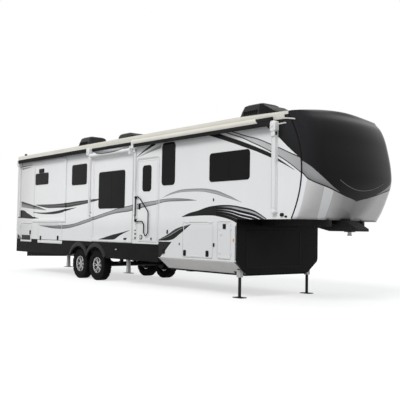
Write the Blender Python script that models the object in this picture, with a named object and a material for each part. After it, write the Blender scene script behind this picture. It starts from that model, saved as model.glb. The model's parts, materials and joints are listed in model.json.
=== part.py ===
# Fifth wheel trailer: a long two-axle travel trailer with a raised nose over its kingpin.
# Metres. +X points to the nose, +Y to the off side, +Z up, and the ground is Z = 0.
# Stations along X start at the back of the rear wall. An empty at the end of the file
# carries every piece, so that the origin lies under the middle of the whole outline.

import math

import bmesh
import bpy
from mathutils import Matrix, Vector

# Clearances
FIT = 0.0003
RUN = 0.005
HOLE_OVERRUN = 0.01

# Body shell
BODY_HALF = 1.22
WALL_T = 0.05
WALL_TOP = 3.50
WALL_BOTTOM = 1.00
DECK_UNDER = 1.57
ROOF_EDGE_T = 0.10
ROOF_CROWN = 0.11
ROOF_FALL = 0.04
ROOF_FALL_START = 10.30
ROOF_LIP = 0.012
CROWN_STEPS = 8

# Seam between the side walls and the nose cap, an arc through three points
SEAM_LOW_X = 11.79
SEAM_MID_X = 12.03
SEAM_MID_Z = 2.55
SEAM_TOP_X = 11.70

# Nose cap on the centre line, from the bottom up. Beside the walls: share of the height from
# the deck's underside to the wall's top, and reach ahead of the roof's front edge. Above the
# roof's edge: share of the crown's rise, and reach.
NOSE_BESIDE_WALLS = (
    (0.00, 0.34),
    (0.09, 0.49),
    (0.22, 0.64),
    (0.38, 0.79),
    (0.54, 0.775),
    (0.72, 0.70),
    (0.84, 0.645),
    (0.95, 0.54),
    (1.00, 0.43),
)
NOSE_ABOVE_EDGE = (
    (0.00, 0.36),
    (0.47, 0.32),
    (0.82, 0.26),
    (0.97, 0.13),
)
CAP_T = 0.05
CAP_BACK_CUT = 0.2
CAP_BOW = 0.12
CAP_CORNER_R = 0.42
CAP_BOW_STEPS = 4
CAP_CORNER_STEPS = 5
CAP_CORNER_SHARE = 0.6
CAP_DEPTH_SHARE = 0.85
CAP_LEAST_HALF = 0.02
CAP_TILT_ROUNDS = 4

# Floors
FLOOR_TOP = WALL_BOTTOM
FLOOR_T = 0.10
REAR_DECK_TOP = 1.52
REAR_DECK_T = 0.05
REAR_DECK_END = 3.22
DECK_T = 0.07

# Basement under the raised deck
BASEMENT_BACK = 7.70
BASEMENT_FRONT = 10.318
BULKHEAD_T = 0.05
BASEMENT_CREASE = 0.72
BASEMENT_FLOOR_T = 0.04
PAN_BOTTOM = 0.47
PAN_TAPER = 0.31
PAN_T = 0.02
FRONT_WALL_T = 0.045

# Skirts along the lower edge
SKIRT_BOTTOM = 0.60
SKIRT_T = 0.02
ARCH_R = 0.475
ARCH_STEPS = 10

# Chassis frame
RAIL_Y = 0.61
RAIL_W = 0.10
RAIL_WEB = 0.02
RAIL_FLANGE = 0.02
RAIL_H = 0.26
RAIL_BACK = 0.10
DROP_RAIL_W = 0.096
CROSS_H = 0.09
CROSS_W = 0.08
CROSS_STATIONS = (0.55, 1.70, 3.05, 5.75, 6.15, 7.30)
POST_X = 10.10
POST_W = 0.08
UPPER_RAIL_Y = 0.49
UPPER_RAIL_W = 0.06
UPPER_RAIL_H = 0.12
UPPER_RAIL_END = 12.10
UPPER_CROSS_STATIONS = (10.75, 11.20)
UPPER_CROSS_W = 0.04
UPPER_CROSS_INSET = 0.03
HEAD_CROSS_W = 0.06
DROP_LAP = 0.20
GUSSET_BACK = 0.30
GUSSET_FRONT = 0.02
WELD_LAP = 0.01
WELD_STEP = 0.001
UNDERBELLY_T = 0.015
UNDERBELLY_LIFT = 0.004
UNDERBELLY_LAP = 0.02

# Running gear
AXLE_STATIONS = (4.003, 4.902)
WHEEL_INSET = 0.156
TYRE_R = 0.395
TYRE_W = 0.235
WHEEL_SEGMENTS = 28
RIM_R = 0.195
RIM_W = 0.19
HUB_SEGMENTS = 12
RIM_WALL = 0.012
RIM_LIP = 0.014
HUB_R = 0.085
HUB_BORE_GAP = 0.002
HUB_CAP_R = 0.050
HUB_CAP_PROUD = 0.004
HUB_CAP_BEVEL = 0.016
HUB_CAP_DEPTH = 0.044
SPOKE_COUNT = 8
SPOKE_T = 0.035
SPOKE_SETBACK = 0.020
SPOKE_HUB_EDGE = 0.012
SPOKE_RIM_EDGE = 0.018
SPOKE_RIM_BOW = 0.006
SPOKE_HOLE_WIDE = 0.36
SPOKE_HOLE_NARROW = 0.22
SIDEWALL_LOW = 0.040
SIDEWALL_WIDEST = 0.090
SIDEWALL_SHARE = 0.94
SHOULDER_DROP = 0.025
TREAD_SHARE = 0.70
AXLE_R = 0.038
SPINDLE_R = 0.024
SPINDLE_LENGTH = 0.06
DRUM_R = 0.14
DRUM_W = 0.06
LEAF_T = 0.035
LEAF_W = 0.045
LEAF_DROP = 0.07
HANGER_W = 0.06
HANGER_T = 0.075
LEAF_STEPS = 8
EQUALIZER_HALF = 0.13
EQUALIZER_LAP = 0.02
EQUALIZER_INSET = 0.002
EQUALIZER_DROP = 0.01
EQUALIZER_H = 0.05
HANGER_DROP = 0.015

# Kingpin and its box
PIN_X = 12.15
PIN_DROP = 0.205
PIN_LENGTH = 0.085
PIN_R = 0.0445
PIN_NECK_R = 0.0365
PIN_FOOT_R = 0.045
PIN_FOOT_H = 0.018
PIN_BEVEL = 0.006
PIN_SLOPE = 0.004
PIN_BOX_HALF = 0.17
PIN_BOX_BEHIND = 0.83
PIN_BOX_AHEAD = 0.31
PIN_BOX_BACK_H = 0.10
PIN_BOX_FLAT = 0.35
PIN_BOX_LIP = 0.03
PIN_BOX_SLOPE = 0.02
PIN_PLATE_T = 0.02
WING_SPANS = ((11.40, 11.62), (11.74, 11.96))
WING_T = 0.02
WING_DROP = 0.065
WING_END_T = 0.012
WING_END_DROP = 0.02
WING_END_H = 0.095
PIN_SEGMENTS = 16

# Legs: stations, tubes, and the heights of the feet and of the sleeves' lower ends
FRONT_LEG_X = 10.21
MID_LEG_X = 6.15
REAR_LEG_X = 3.05
LEG_INSET = 0.22
LEG_OUTER = 0.075
LEG_INNER = 0.044
LEG_LAP = 0.02
FOOT_SIZE = 0.26
FOOT_WIDTH = 0.186
FOOT_T = 0.015
FOOT_CORNER_R = 0.03
FRONT_SLEEVE_Z = 0.41
RAISED_FOOT_Z = 0.25
RAISED_SLEEVE_Z = 0.36
LEG_SHAFT = 0.03
LEG_SHAFT_DROP = 0.05
LEG_SHAFT_SIDES = 8

# Openings in the camp side wall: x0, x1, z0, z1, corner radius
MID_WINDOW = (3.55, 4.36, 2.535, 3.09, 0.06)
TALL_WINDOW = (7.79, 8.28, 2.35, 3.31, 0.09)
BEDROOM_WINDOW = (9.48, 10.69, 2.35, 2.94, 0.07)
ENTRY_DOOR = (6.81, 7.66, 1.05, 3.00, 0.05)
DOOR_WINDOW = (7.02, 7.37, 2.24, 2.85, 0.08)
MAIN_SLIDE = (4.72, 6.58, 1.06, 3.22, 0.0)
MAIN_SLIDE_WINDOW = (5.01, 6.25, 1.865, 2.806, 0.07)
REAR_SLIDE = (1.17, 3.19, 1.56, 3.31, 0.0)
REAR_SLIDE_WINDOW = (1.26, 2.10, 2.64, 2.98, 0.05)
CORNER_STEPS = 3

# Openings in the off side and rear walls
OFF_SLIDE = (3.35, 6.60, 1.06, 3.22, 0.0)
OFF_SLIDE_WINDOW = (3.95, 5.45, 1.95, 2.75, 0.07)
BED_SLIDE = (8.95, 10.85, DECK_UNDER + 0.21, 3.22, 0.0)
BED_SLIDE_WINDOW = (9.45, 10.35, 2.35, 2.94, 0.07)
OFF_REAR_WINDOW = (0.95, 1.90, 2.30, 2.95, 0.07)
REAR_WINDOW_CLEAR = 0.09
REAR_WINDOW_Z0 = 2.25
REAR_WINDOW_Z1 = 2.95
REAR_WINDOW_CORNER_R = 0.07

# Compartment doors: x0, x1, z0, z1, corner radius
FRONT_HATCH = (8.60, 9.615, BASEMENT_CREASE + 0.04, DECK_UNDER - 0.06, 0.04)
UTILITY_HATCH = (9.755, 10.165, BASEMENT_CREASE + 0.045, DECK_UNDER - 0.052, 0.03)
REAR_HATCH = (1.48, 3.04, 0.90, 1.46, 0.02)
CORNER_HATCH = (0.28, 1.06, 0.915, 1.47, 0.02)
HATCH_T = 0.03
DOOR_T = 0.04
GLASS_T = 0.024
GLASS_PROUD = 0.008

# Slide-out rooms
SLIDE_WALL = 0.05
SLIDE_DEPTH = 0.87
BED_SLIDE_DEPTH = 0.60
FLANGE = 0.035
FLANGE_T = 0.022
TOPPER_R = 0.045
TOPPER_RISE = 0.05
TOPPER_HEAD = 0.05
TOPPER_HEAD_H = 0.14
TOPPER_HEAD_DROP = 0.10
TOPPER_HEAD_INSET = 0.002
TOPPER_END_INSET = 0.01
TOPPER_SIDES = 12
PANEL_LAP = 0.01
FLANGE_LAP = 0.02

# Hinge knuckles
KNUCKLE_R = 0.009
KNUCKLE_LENGTH = 0.06
KNUCKLE_LEAF = 0.030
KNUCKLE_BITE = 0.0008
HINGE_INSET = 0.16
HINGE_GAP = 0.004

# Awnings: the arms reach from the roof edge down the wall
AWNING_PROUD = 0.145
AWNING_ROLL_R = 0.060
AWNING_ROLL_Z = 3.42
AWNING_SIDES = 16
ARM_W = 0.07
ARM_D = 0.045
ARM_FOOT_Z = 1.70
ARM_HEAD = 0.15
ARM_HEAD_LAP = 0.005
REAR_AWNING = (0.20, 4.57)
FRONT_AWNING = (6.72, 11.48)

# Folding handrail beside the door
RAIL_AXIS_X = 6.775
RAIL_STANDOFF = 0.040
HANDRAIL_R = 0.0125
HANDRAIL_TOP = 2.12
HANDRAIL_LOW = 1.53
HANDRAIL_SIDES = 8
# The rest of its loop: distance ahead of the upright and height, from the top round to the low end
HANDRAIL_LOOP = (
    (0.09, 2.12),
    (0.20, 2.07),
    (0.52, 1.78),
    (0.545, 1.71),
    (0.545, 1.27),
    (0.48, 1.20),
    (0.43, 1.20),
    (0.37, 1.27),
    (0.37, 1.46),
    (0.30, 1.53),
)
LUG_T = 0.03
LUG_W = 0.036

# Roof equipment
AC_LENGTH = 0.76
AC_WIDTH = 0.70
AC_TOP = 4.08
AC_STATIONS = (2.55, 9.755)
AC_TAPER = 0.07
AC_BASE_T = 0.05
AC_SHOULDER = 0.22
AC_BEVEL = 0.03
AC_CORNER_R = 0.07
VENT_X = 4.65
VENT_SIZE = 0.40
VENT_TOP = 3.87
VENT_BEVEL = 0.03
VENT_SLOPE = 0.01
VENT_TOP_INSET = 0.05
VENT_CORNER_R = 0.04

# Rear end
BUMPER_X = -0.16
BUMPER_D = 0.10
BUMPER_H = 0.10
BUMPER_Z = 0.64
BUMPER_INSET = 0.17
BUMPER_ARM_W = 0.06
BUMPER_ARM_INSET = 0.02
LADDER_INSET = 0.46
LADDER_HALF = 0.17
LADDER_STANDOFF = 0.09
LADDER_R = 0.0125
LADDER_LOW = 1.25
LADDER_TOP_GAP = 0.05
LADDER_RUNGS = 8
LADDER_RUNG_INSET = 0.08
LADDER_STAY_INSET = 0.10
LADDER_SIDES = 6
LADDER_STAY_R = 0.01125
LADDER_RUNG_R = 0.010
LAMP_INSET = 0.20
LAMP_Z0 = 1.15
LAMP_Z1 = 1.50
LAMP_W = 0.12
LAMP_T = 0.025
LAMP_CORNER_R = 0.03

MATERIALS = {
    "gelcoat_white": ((0.80, 0.80, 0.79, 1.0), 0.25, 0.0),
    "gelcoat_black": ((0.012, 0.012, 0.014, 1.0), 0.20, 0.0),
    "gelcoat_silver": ((0.42, 0.43, 0.44, 1.0), 0.30, 0.2),
    "skirt_black": ((0.018, 0.018, 0.019, 1.0), 0.45, 0.0),
    "roof_membrane": ((0.72, 0.70, 0.66, 1.0), 0.60, 0.0),
    "floor_board": ((0.30, 0.22, 0.14, 1.0), 0.70, 0.0),
    "frame_black": ((0.020, 0.020, 0.020, 1.0), 0.50, 0.2),
    "steel_grey": ((0.35, 0.35, 0.36, 1.0), 0.45, 0.8),
    "alloy": ((0.62, 0.63, 0.64, 1.0), 0.22, 0.9),
    "tyre_rubber": ((0.015, 0.015, 0.015, 1.0), 0.80, 0.0),
    "tinted_glass": ((0.015, 0.016, 0.018, 1.0), 0.06, 0.0),
    "shroud_plastic": ((0.025, 0.025, 0.027, 1.0), 0.50, 0.0),
    "awning_metal": ((0.82, 0.81, 0.77, 1.0), 0.40, 0.1),
    "rail_black": ((0.02, 0.02, 0.02, 1.0), 0.35, 0.1),
    "lamp_red": ((0.45, 0.01, 0.01, 1.0), 0.20, 0.0),
}

# Places worked out from the sizes above
PAN_HALF = BODY_HALF - PAN_TAPER
WHEEL_Y = BODY_HALF - WHEEL_INSET
LEG_Y = BODY_HALF - LEG_INSET
BUMPER_HALF = BODY_HALF - BUMPER_INSET
LAMP_Y = BODY_HALF - LAMP_INSET
LADDER_Y = BODY_HALF - LADDER_INSET
REAR_WINDOW_HALF = LADDER_Y - LADDER_HALF - REAR_WINDOW_CLEAR
PIN_PLATE_UNDER = DECK_UNDER - PIN_DROP
PIN_BOTTOM = PIN_PLATE_UNDER - PIN_LENGTH
PIN_BOX_BACK = PIN_X - PIN_BOX_BEHIND
PIN_BOX_TIP = PIN_X + PIN_BOX_AHEAD
CAP_EDGE = WALL_TOP + ROOF_EDGE_T - ROOF_FALL
NOSE_PROFILE = [
    (DECK_UNDER + share * (WALL_TOP - DECK_UNDER), SEAM_TOP_X + reach)
    for share, reach in NOSE_BESIDE_WALLS
] + [
    (CAP_EDGE + share * ROOF_CROWN, SEAM_TOP_X + reach)
    for share, reach in NOSE_ABOVE_EDGE
]
NOSE_X = max(station for height, station in NOSE_PROFILE)
MID_X = (BUMPER_X + NOSE_X) / 2
ROOF_TOP = WALL_TOP + ROOF_EDGE_T + ROOF_CROWN
HINGE_OUT = BODY_HALF + KNUCKLE_R


def clear_scene():
    """Remove whatever the file holds."""
    for item in list(bpy.data.objects):
        bpy.data.objects.remove(item, do_unlink=True)
    for mesh in list(bpy.data.meshes):
        bpy.data.meshes.remove(mesh)


def make_materials():
    """One Principled material for each finish."""
    made = {}
    for name, (colour, roughness, metallic) in MATERIALS.items():
        material = bpy.data.materials.new(name)
        material.use_nodes = True
        shader = material.node_tree.nodes["Principled BSDF"]
        shader.inputs["Base Color"].default_value = colour
        shader.inputs["Roughness"].default_value = roughness
        shader.inputs["Metallic"].default_value = metallic
        material.diffuse_color = colour
        made[name] = material
    return made


def mesh_of(points, faces):
    """A mesh with its faces turned outward."""
    mesh = bpy.data.meshes.new("shape")
    mesh.from_pydata([tuple(point) for point in points], [], faces)
    work = bmesh.new()
    work.from_mesh(mesh)
    bmesh.ops.recalc_face_normals(work, faces=work.faces)
    work.to_mesh(mesh)
    work.free()
    return mesh


def place_point(axis, u, v, w):
    """Turn a point of an outline and its depth into space.

    An outline across X is drawn in Y and Z, one across Y in X and Z, one across Z in X and Y.
    """
    if axis == "X":
        return (w, u, v)
    if axis == "Y":
        return (u, w, v)
    return (u, v, w)


def prism(axis, outline, low, high, holes=()):
    """An outline given depth from low to high along the axis, with holes cut through it."""
    count = len(outline)
    points = [place_point(axis, u, v, low) for u, v in outline]
    points += [place_point(axis, u, v, high) for u, v in outline]
    faces = [tuple(range(count)), tuple(range(count, 2 * count))]
    for a in range(count):
        b = (a + 1) % count
        faces.append((a, b, b + count, a + count))
    solid = mesh_of(points, faces)
    return cut(solid, *[prism(axis, hole, low - HOLE_OVERRUN, high + HOLE_OVERRUN) for hole in holes])


def box(x0, x1, y0, y1, z0, z1):
    """A plain block between two corners."""
    return prism("Z", [(x0, y0), (x1, y0), (x1, y1), (x0, y1)], z0, z1)


def rectangle(u0, u1, v0, v1, radius=0.0, steps=CORNER_STEPS):
    """A rectangle whose corners are arcs."""
    if radius <= 0:
        return [(u0, v0), (u1, v0), (u1, v1), (u0, v1)]
    corners = (
        (u1 - radius, v0 + radius, -90),
        (u1 - radius, v1 - radius, 0),
        (u0 + radius, v1 - radius, 90),
        (u0 + radius, v0 + radius, 180),
    )
    points = []
    for centre_u, centre_v, start in corners:
        for step in range(steps + 1):
            angle = math.radians(start + 90 * step / steps)
            points.append((centre_u + radius * math.cos(angle), centre_v + radius * math.sin(angle)))
    return points


def grown(opening, amount):
    """An opening's rectangle, larger by an amount on each side, with its radius following."""
    x0, x1, z0, z1, radius = opening
    corner = max(radius + amount, 0.0) if radius > 0 else 0.0
    return rectangle(x0 - amount, x1 + amount, z0 - amount, z1 + amount, corner)


def turned(axis, profile, segments, centre=(0.0, 0.0, 0.0)):
    """Turn a closed profile of radius and height about an axis through the centre."""
    points = []
    faces = []
    rings = []
    for radius, height in profile:
        if radius < 1e-6:
            rings.append([len(points)])
            points.append(ring_point(axis, 0.0, 0.0, height, centre))
            continue
        ring = []
        for step in range(segments):
            angle = 2 * math.pi * step / segments
            ring.append(len(points))
            u, v = radius * math.cos(angle), radius * math.sin(angle)
            points.append(ring_point(axis, u, v, height, centre))
        rings.append(ring)
    pairs = list(zip(rings, rings[1:] + rings[:1]))
    if len(rings[0]) == 1 and len(rings[-1]) == 1:
        pairs = pairs[:-1]
    for lower, upper in pairs:
        for step in range(segments):
            a = lower[step % len(lower)]
            b = lower[(step + 1) % len(lower)]
            c = upper[(step + 1) % len(upper)]
            d = upper[step % len(upper)]
            face = [a]
            for corner in (b, c, d):
                if corner not in face:
                    face.append(corner)
            if len(face) > 2:
                faces.append(tuple(face))
    return mesh_of(points, faces)


def ring_point(axis, u, v, height, centre):
    """A point at u and v across an axis and at a height along it."""
    x, y, z = {"X": (height, u, v), "Y": (u, height, v), "Z": (u, v, height)}[axis]
    return (centre[0] + x, centre[1] + y, centre[2] + z)


def rod(axis, radius, low, high, centre, sides=12):
    """A round bar along an axis, between two places on it."""
    profile = [(0.0, low), (radius, low), (radius, high), (0.0, high)]
    return turned(axis, profile, sides, centre)


def tube_along(path, radius, sides, closed=False):
    """A round bar swept along a path of points, mitred at each bend."""
    count = len(path)
    places = [Vector(point) for point in path]
    points = []
    faces = []
    normal = None
    for index, place in enumerate(places):
        before = places[index - 1] if index > 0 or closed else place
        after = places[(index + 1) % count] if index < count - 1 or closed else place
        tangent_in = (place - before).normalized() if (place - before).length > 0 else None
        tangent_out = (after - place).normalized() if (after - place).length > 0 else None
        first = tangent_in or tangent_out
        second = tangent_out or tangent_in
        tangent = (first + second).normalized()
        if normal is None:
            normal = tangent.orthogonal().normalized()
        normal = (normal - tangent * normal.dot(tangent)).normalized()
        side = tangent.cross(normal)
        stretch = 1.0 / max(math.sqrt((1 + first.dot(second)) / 2), 0.5)
        bend = second - first
        lean = (bend - tangent * bend.dot(tangent))
        lean = lean.normalized() if lean.length > 1e-6 else None
        for step in range(sides):
            angle = 2 * math.pi * step / sides
            spoke = normal * math.cos(angle) + side * math.sin(angle)
            if lean is not None:
                spoke = spoke + lean * spoke.dot(lean) * (stretch - 1)
            points.append(place + spoke * radius)
    for index in range(count if closed else count - 1):
        low = index * sides
        high = ((index + 1) % count) * sides
        for step in range(sides):
            after = (step + 1) % sides
            faces.append((low + step, low + after, high + after, high + step))
    if not closed:
        faces.append(tuple(range(sides)))
        faces.append(tuple((count - 1) * sides + step for step in range(sides)))
    return mesh_of(points, faces)


def loft(sections):
    """Skin closed sections with the same number of points, and cap both ends."""
    size = len(sections[0])
    points = [point for section in sections for point in section]
    faces = []
    for level in range(len(sections) - 1):
        low = level * size
        for step in range(size):
            after = (step + 1) % size
            faces.append((low + step, low + after, low + size + after, low + size + step))
    faces.append(tuple(range(size)))
    top = (len(sections) - 1) * size
    faces.append(tuple(top + step for step in range(size)))
    return mesh_of(points, faces)


def boolean(base, tools, operation):
    """A mesh joined with, or cut by, each of the other meshes."""
    holder = bpy.data.objects.new("work", base)
    bpy.context.scene.collection.objects.link(holder)
    helpers = []
    for tool in tools:
        helper = bpy.data.objects.new("work_tool", tool)
        bpy.context.scene.collection.objects.link(helper)
        helpers.append(helper)
        modifier = holder.modifiers.new("shape", "BOOLEAN")
        modifier.operation = operation
        modifier.solver = "EXACT"
        modifier.object = helper
    graph = bpy.context.evaluated_depsgraph_get()
    result = bpy.data.meshes.new_from_object(holder.evaluated_get(graph))
    for helper in [holder, *helpers]:
        bpy.data.objects.remove(helper, do_unlink=True)
    return result


def fuse(base, *others):
    """One mesh from several that overlap."""
    return boolean(base, others, "UNION") if others else base


def cut(base, *tools):
    """A mesh with others taken out of it."""
    return boolean(base, tools, "DIFFERENCE") if tools else base


def add(name, mesh, material, origin=(0.0, 0.0, 0.0), smooth=False):
    """Make a named piece whose origin lies at a given place."""
    shape = mesh.copy()
    shape.name = name
    shape.transform(Matrix.Translation(-Vector(origin)))
    shape.materials.clear()
    shape.materials.append(FINISH[material])
    piece = bpy.data.objects.new(name, shape)
    piece.location = origin
    piece.parent = DATUM
    bpy.context.scene.collection.objects.link(piece)
    if smooth:
        shape.shade_smooth()
        shape.set_sharp_from_angle(angle=math.radians(30))
    return piece


def seam_station(z):
    """The station of the seam between side wall and cap at a height."""
    if z >= WALL_TOP:
        return SEAM_TOP_X
    low = (DECK_UNDER, SEAM_LOW_X)
    mid = (SEAM_MID_Z, SEAM_MID_X)
    top = (WALL_TOP, SEAM_TOP_X)
    total = 0.0
    for here, others in ((low, (mid, top)), (mid, (low, top)), (top, (low, mid))):
        share = here[1]
        for other in others:
            share *= (z - other[0]) / (here[0] - other[0])
        total += share
    return total


def crown_half(z):
    """Half the width of the nose at a height, which narrows above the roof's edge."""
    if z <= CAP_EDGE:
        return BODY_HALF
    return BODY_HALF * math.sqrt(max(1 - (z - CAP_EDGE) / ROOF_CROWN, 0.0))


def mirror_y(side, low, high):
    """A span across the body on one side: -1 is the camp side, +1 the off side."""
    return (side * high, side * low) if side < 0 else (side * low, side * high)


def knuckle(axis, side_sign, start, length, centre_u, reach):
    """A hinge knuckle with its leaf, standing on the outer face of a side wall.

    Axis X is a hinge along the top of a hatch, axis Z one along an upright edge. Reach is +1
    where the leaf lies on the plus side of the axis and -1 on the other.
    """
    r = KNUCKLE_R
    d = r * math.sqrt(0.5)
    foot = -(r + KNUCKLE_BITE)
    drawn = [
        (KNUCKLE_LEAF, foot), (KNUCKLE_LEAF, 0.0), (d, d), (0.0, r),
        (-d, d), (-r, 0.0), (-d, -d), (0.0, foot),
    ]
    outline = []
    for along, out in drawn:
        across = side_sign * (HINGE_OUT + out)
        if axis == "X":
            outline.append((across, centre_u + reach * along))
        else:
            outline.append((centre_u + reach * along, across))
    return prism(axis, outline, start, start + length)


def hinge_pairs(axis, side_sign, low, high, centre_u, reach):
    """The fixed and the moving knuckles of a hinge, near both ends of its length."""
    fixed = []
    moving = []
    inset = min(HINGE_INSET, (high - low) / 4)
    for start in (low + inset - KNUCKLE_LENGTH, high - inset):
        fixed.append(knuckle(axis, side_sign, start, KNUCKLE_LENGTH, centre_u, -reach))
        beside = start + KNUCKLE_LENGTH + FIT
        moving.append(knuckle(axis, side_sign, beside, KNUCKLE_LENGTH, centre_u, reach))
    return fixed, moving


def wall_outline(opening_notches):
    """Side wall outline from the rear wall to the cap seam, with notches in its lower edge."""
    back = WALL_T + FIT
    points = [(back, WALL_BOTTOM)]
    for x0, x1, top in opening_notches:
        points += [(x0, WALL_BOTTOM), (x0, top), (x1, top), (x1, WALL_BOTTOM)]
    points += [
        (BASEMENT_BACK, WALL_BOTTOM),
        (BASEMENT_BACK, BASEMENT_CREASE),
        (BASEMENT_FRONT, BASEMENT_CREASE),
        (BASEMENT_FRONT, DECK_UNDER),
    ]
    for z, _ in NOSE_PROFILE:
        if z <= WALL_TOP:
            points.append((seam_station(z), min(z, WALL_TOP - FIT)))
    points.append((back, WALL_TOP - FIT))
    return points


def hatch_hole(hatch):
    """The hole that a compartment door closes, with the running gap of its edges."""
    return grown(hatch, HINGE_GAP)


def build_camp_wall():
    """The wall on the door side, with everything cut that opens through it."""
    notches = []
    for hatch in (CORNER_HATCH, REAR_HATCH):
        notches.append((hatch[0] - HINGE_GAP, hatch[1] + HINGE_GAP, hatch[3] + HINGE_GAP))
    holes = [
        grown(MID_WINDOW, FIT),
        grown(TALL_WINDOW, FIT),
        grown(BEDROOM_WINDOW, FIT),
        hatch_hole(ENTRY_DOOR),
        grown(MAIN_SLIDE, 0.0),
        grown(REAR_SLIDE, 0.0),
        hatch_hole(FRONT_HATCH),
        hatch_hole(UTILITY_HATCH),
    ]
    low, high = mirror_y(-1, BODY_HALF - WALL_T, BODY_HALF)
    wall = prism("Y", wall_outline(notches), low, high, holes)
    fixed = []
    for axis, start, end, centre, reach in CAMP_HINGES.values():
        fixed += hinge_pairs(axis, -1, start, end, centre, reach)[0]
    for lug_z in (HANDRAIL_TOP + HANDRAIL_R + FIT, HANDRAIL_LOW - HANDRAIL_R - FIT - LUG_T):
        out = BODY_HALF + RAIL_STANDOFF + LUG_W / 2
        fixed.append(box(
            RAIL_AXIS_X - LUG_W / 2, RAIL_AXIS_X + LUG_W / 2,
            -out, -(BODY_HALF - KNUCKLE_BITE), lug_z, lug_z + LUG_T,
        ))
    add("side_wall_camp", fuse(wall, *fixed), "gelcoat_white")


def build_off_wall():
    """The wall on the far side."""
    holes = [
        grown(OFF_REAR_WINDOW, FIT),
        grown(OFF_SLIDE, 0.0),
        grown(BED_SLIDE, 0.0),
        hatch_hole(FRONT_HATCH),
    ]
    wall = prism("Y", wall_outline([]), BODY_HALF - WALL_T, BODY_HALF, holes)
    fixed = []
    for axis, start, end, centre, reach in OFF_HINGES.values():
        fixed += hinge_pairs(axis, 1, start, end, centre, reach)[0]
    add("side_wall_off", fuse(wall, *fixed), "gelcoat_white")


def build_rear_wall():
    """The rear wall stands across the ends of the side walls."""
    outline = rectangle(-BODY_HALF, BODY_HALF, WALL_BOTTOM, WALL_TOP - FIT)
    hole = rectangle(
        -REAR_WINDOW_HALF - FIT, REAR_WINDOW_HALF + FIT,
        REAR_WINDOW_Z0 - FIT, REAR_WINDOW_Z1 + FIT, REAR_WINDOW_CORNER_R,
    )
    add("rear_wall", prism("X", outline, 0.0, WALL_T, [hole]), "gelcoat_white")


def roof_section(station, edge):
    """The roof's cross-section at a station, with its edges at a height."""
    half = BODY_HALF + ROOF_LIP
    points = [(station, -half, WALL_TOP), (station, half, WALL_TOP)]
    for step in range(2 * CROWN_STEPS + 1):
        y = half * (1 - step / CROWN_STEPS)
        points.append((station, y, edge + ROOF_CROWN * (1 - (y / half) ** 2)))
    return points


def build_roof():
    """The crowned roof, with a small lip along both edges, falling a little toward the nose."""
    edge = WALL_TOP + ROOF_EDGE_T
    sections = [
        roof_section(0.0, edge),
        roof_section(ROOF_FALL_START, edge),
        roof_section(SEAM_TOP_X - FIT, CAP_EDGE),
    ]
    add("roof", loft(sections), "roof_membrane")


def cap_section(z, nose, inset):
    """A level section of the nose cap, drawn in by an inset all round its front."""
    half = max(crown_half(z) - inset, CAP_LEAST_HALF)
    tip = nose - inset
    back = seam_station(z) + FIT - (CAP_BACK_CUT if inset > 0 else 0.0)
    depth = tip - back
    bow = min(CAP_BOW * half / BODY_HALF, depth / 4)
    across = min(CAP_CORNER_R, half * CAP_CORNER_SHARE)
    along = min(CAP_CORNER_R, (depth - bow) * CAP_DEPTH_SHARE)
    tilt = 0.0
    for _ in range(CAP_TILT_ROUNDS):
        bow_end = half - across + across * math.sin(tilt)
        tilt = math.atan(2 * bow * across / (bow_end * along))
    corner_x = tip - bow - along * math.cos(tilt)
    points = []
    for step in range(CAP_CORNER_STEPS):
        angle = math.pi / 2 + (tilt - math.pi / 2) * step / CAP_CORNER_STEPS
        points.append((corner_x + along * math.cos(angle), half - across + across * math.sin(angle)))
    for step in range(CAP_BOW_STEPS):
        y = bow_end * (1 - step / CAP_BOW_STEPS)
        points.append((tip - bow * (y / bow_end) ** 2, y))
    mirrored = [(x, -y) for x, y in reversed(points)]
    ring = [(back, half), *points, (tip, 0.0), *mirrored, (back, -half)]
    return [(x, y, z) for x, y in ring]


def build_cap():
    """The nose cap, a shell lofted from level sections and open at its back."""
    outer = [cap_section(z, nose, 0.0) for z, nose in NOSE_PROFILE]
    floor = DECK_UNDER + CAP_T
    ceiling = CAP_EDGE - CAP_T
    levels = []
    for height, nose in NOSE_PROFILE:
        z = min(max(height, floor), ceiling)
        if not levels or z > levels[-1][0] + FIT:
            levels.append((z, nose))
    cutter = loft([cap_section(z, nose, CAP_T) for z, nose in levels])
    add("nose_cap", cut(loft(outer), cutter), "gelcoat_black", smooth=True)


def build_floors():
    """The lower floor with its raised rear deck, and the upper deck with its bulkhead."""
    half = BODY_HALF - WALL_T - FIT
    low = FLOOR_TOP - FLOOR_T
    back = WALL_T + FIT
    front = BASEMENT_BACK - FIT
    riser = REAR_DECK_END - REAR_DECK_T
    under = REAR_DECK_TOP - REAR_DECK_T
    outline = [
        (back, low), (front, low), (front, FLOOR_TOP), (REAR_DECK_END, FLOOR_TOP),
        (REAR_DECK_END, REAR_DECK_TOP), (back, REAR_DECK_TOP), (back, under),
        (riser, under), (riser, FLOOR_TOP), (back, FLOOR_TOP),
    ]
    add("lower_floor", prism("Y", outline, -half, half), "floor_board")
    foot = BASEMENT_CREASE + BASEMENT_FLOOR_T + FIT
    end = seam_station(DECK_UNDER) - FIT
    outline = [
        (BASEMENT_BACK, foot), (BASEMENT_BACK + BULKHEAD_T, foot),
        (BASEMENT_BACK + BULKHEAD_T, DECK_UNDER), (end, DECK_UNDER),
        (end, DECK_UNDER + DECK_T), (BASEMENT_BACK, DECK_UNDER + DECK_T),
    ]
    add("upper_deck", prism("Y", outline, -half, half), "floor_board")


def pan_outline(inset):
    """The cross-section of the basement's tapered underside."""
    half = BODY_HALF - inset
    return [
        (-half, BASEMENT_CREASE - FIT), (-PAN_HALF + inset / 2, PAN_BOTTOM + inset),
        (PAN_HALF - inset / 2, PAN_BOTTOM + inset), (half, BASEMENT_CREASE - FIT),
    ]


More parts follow.
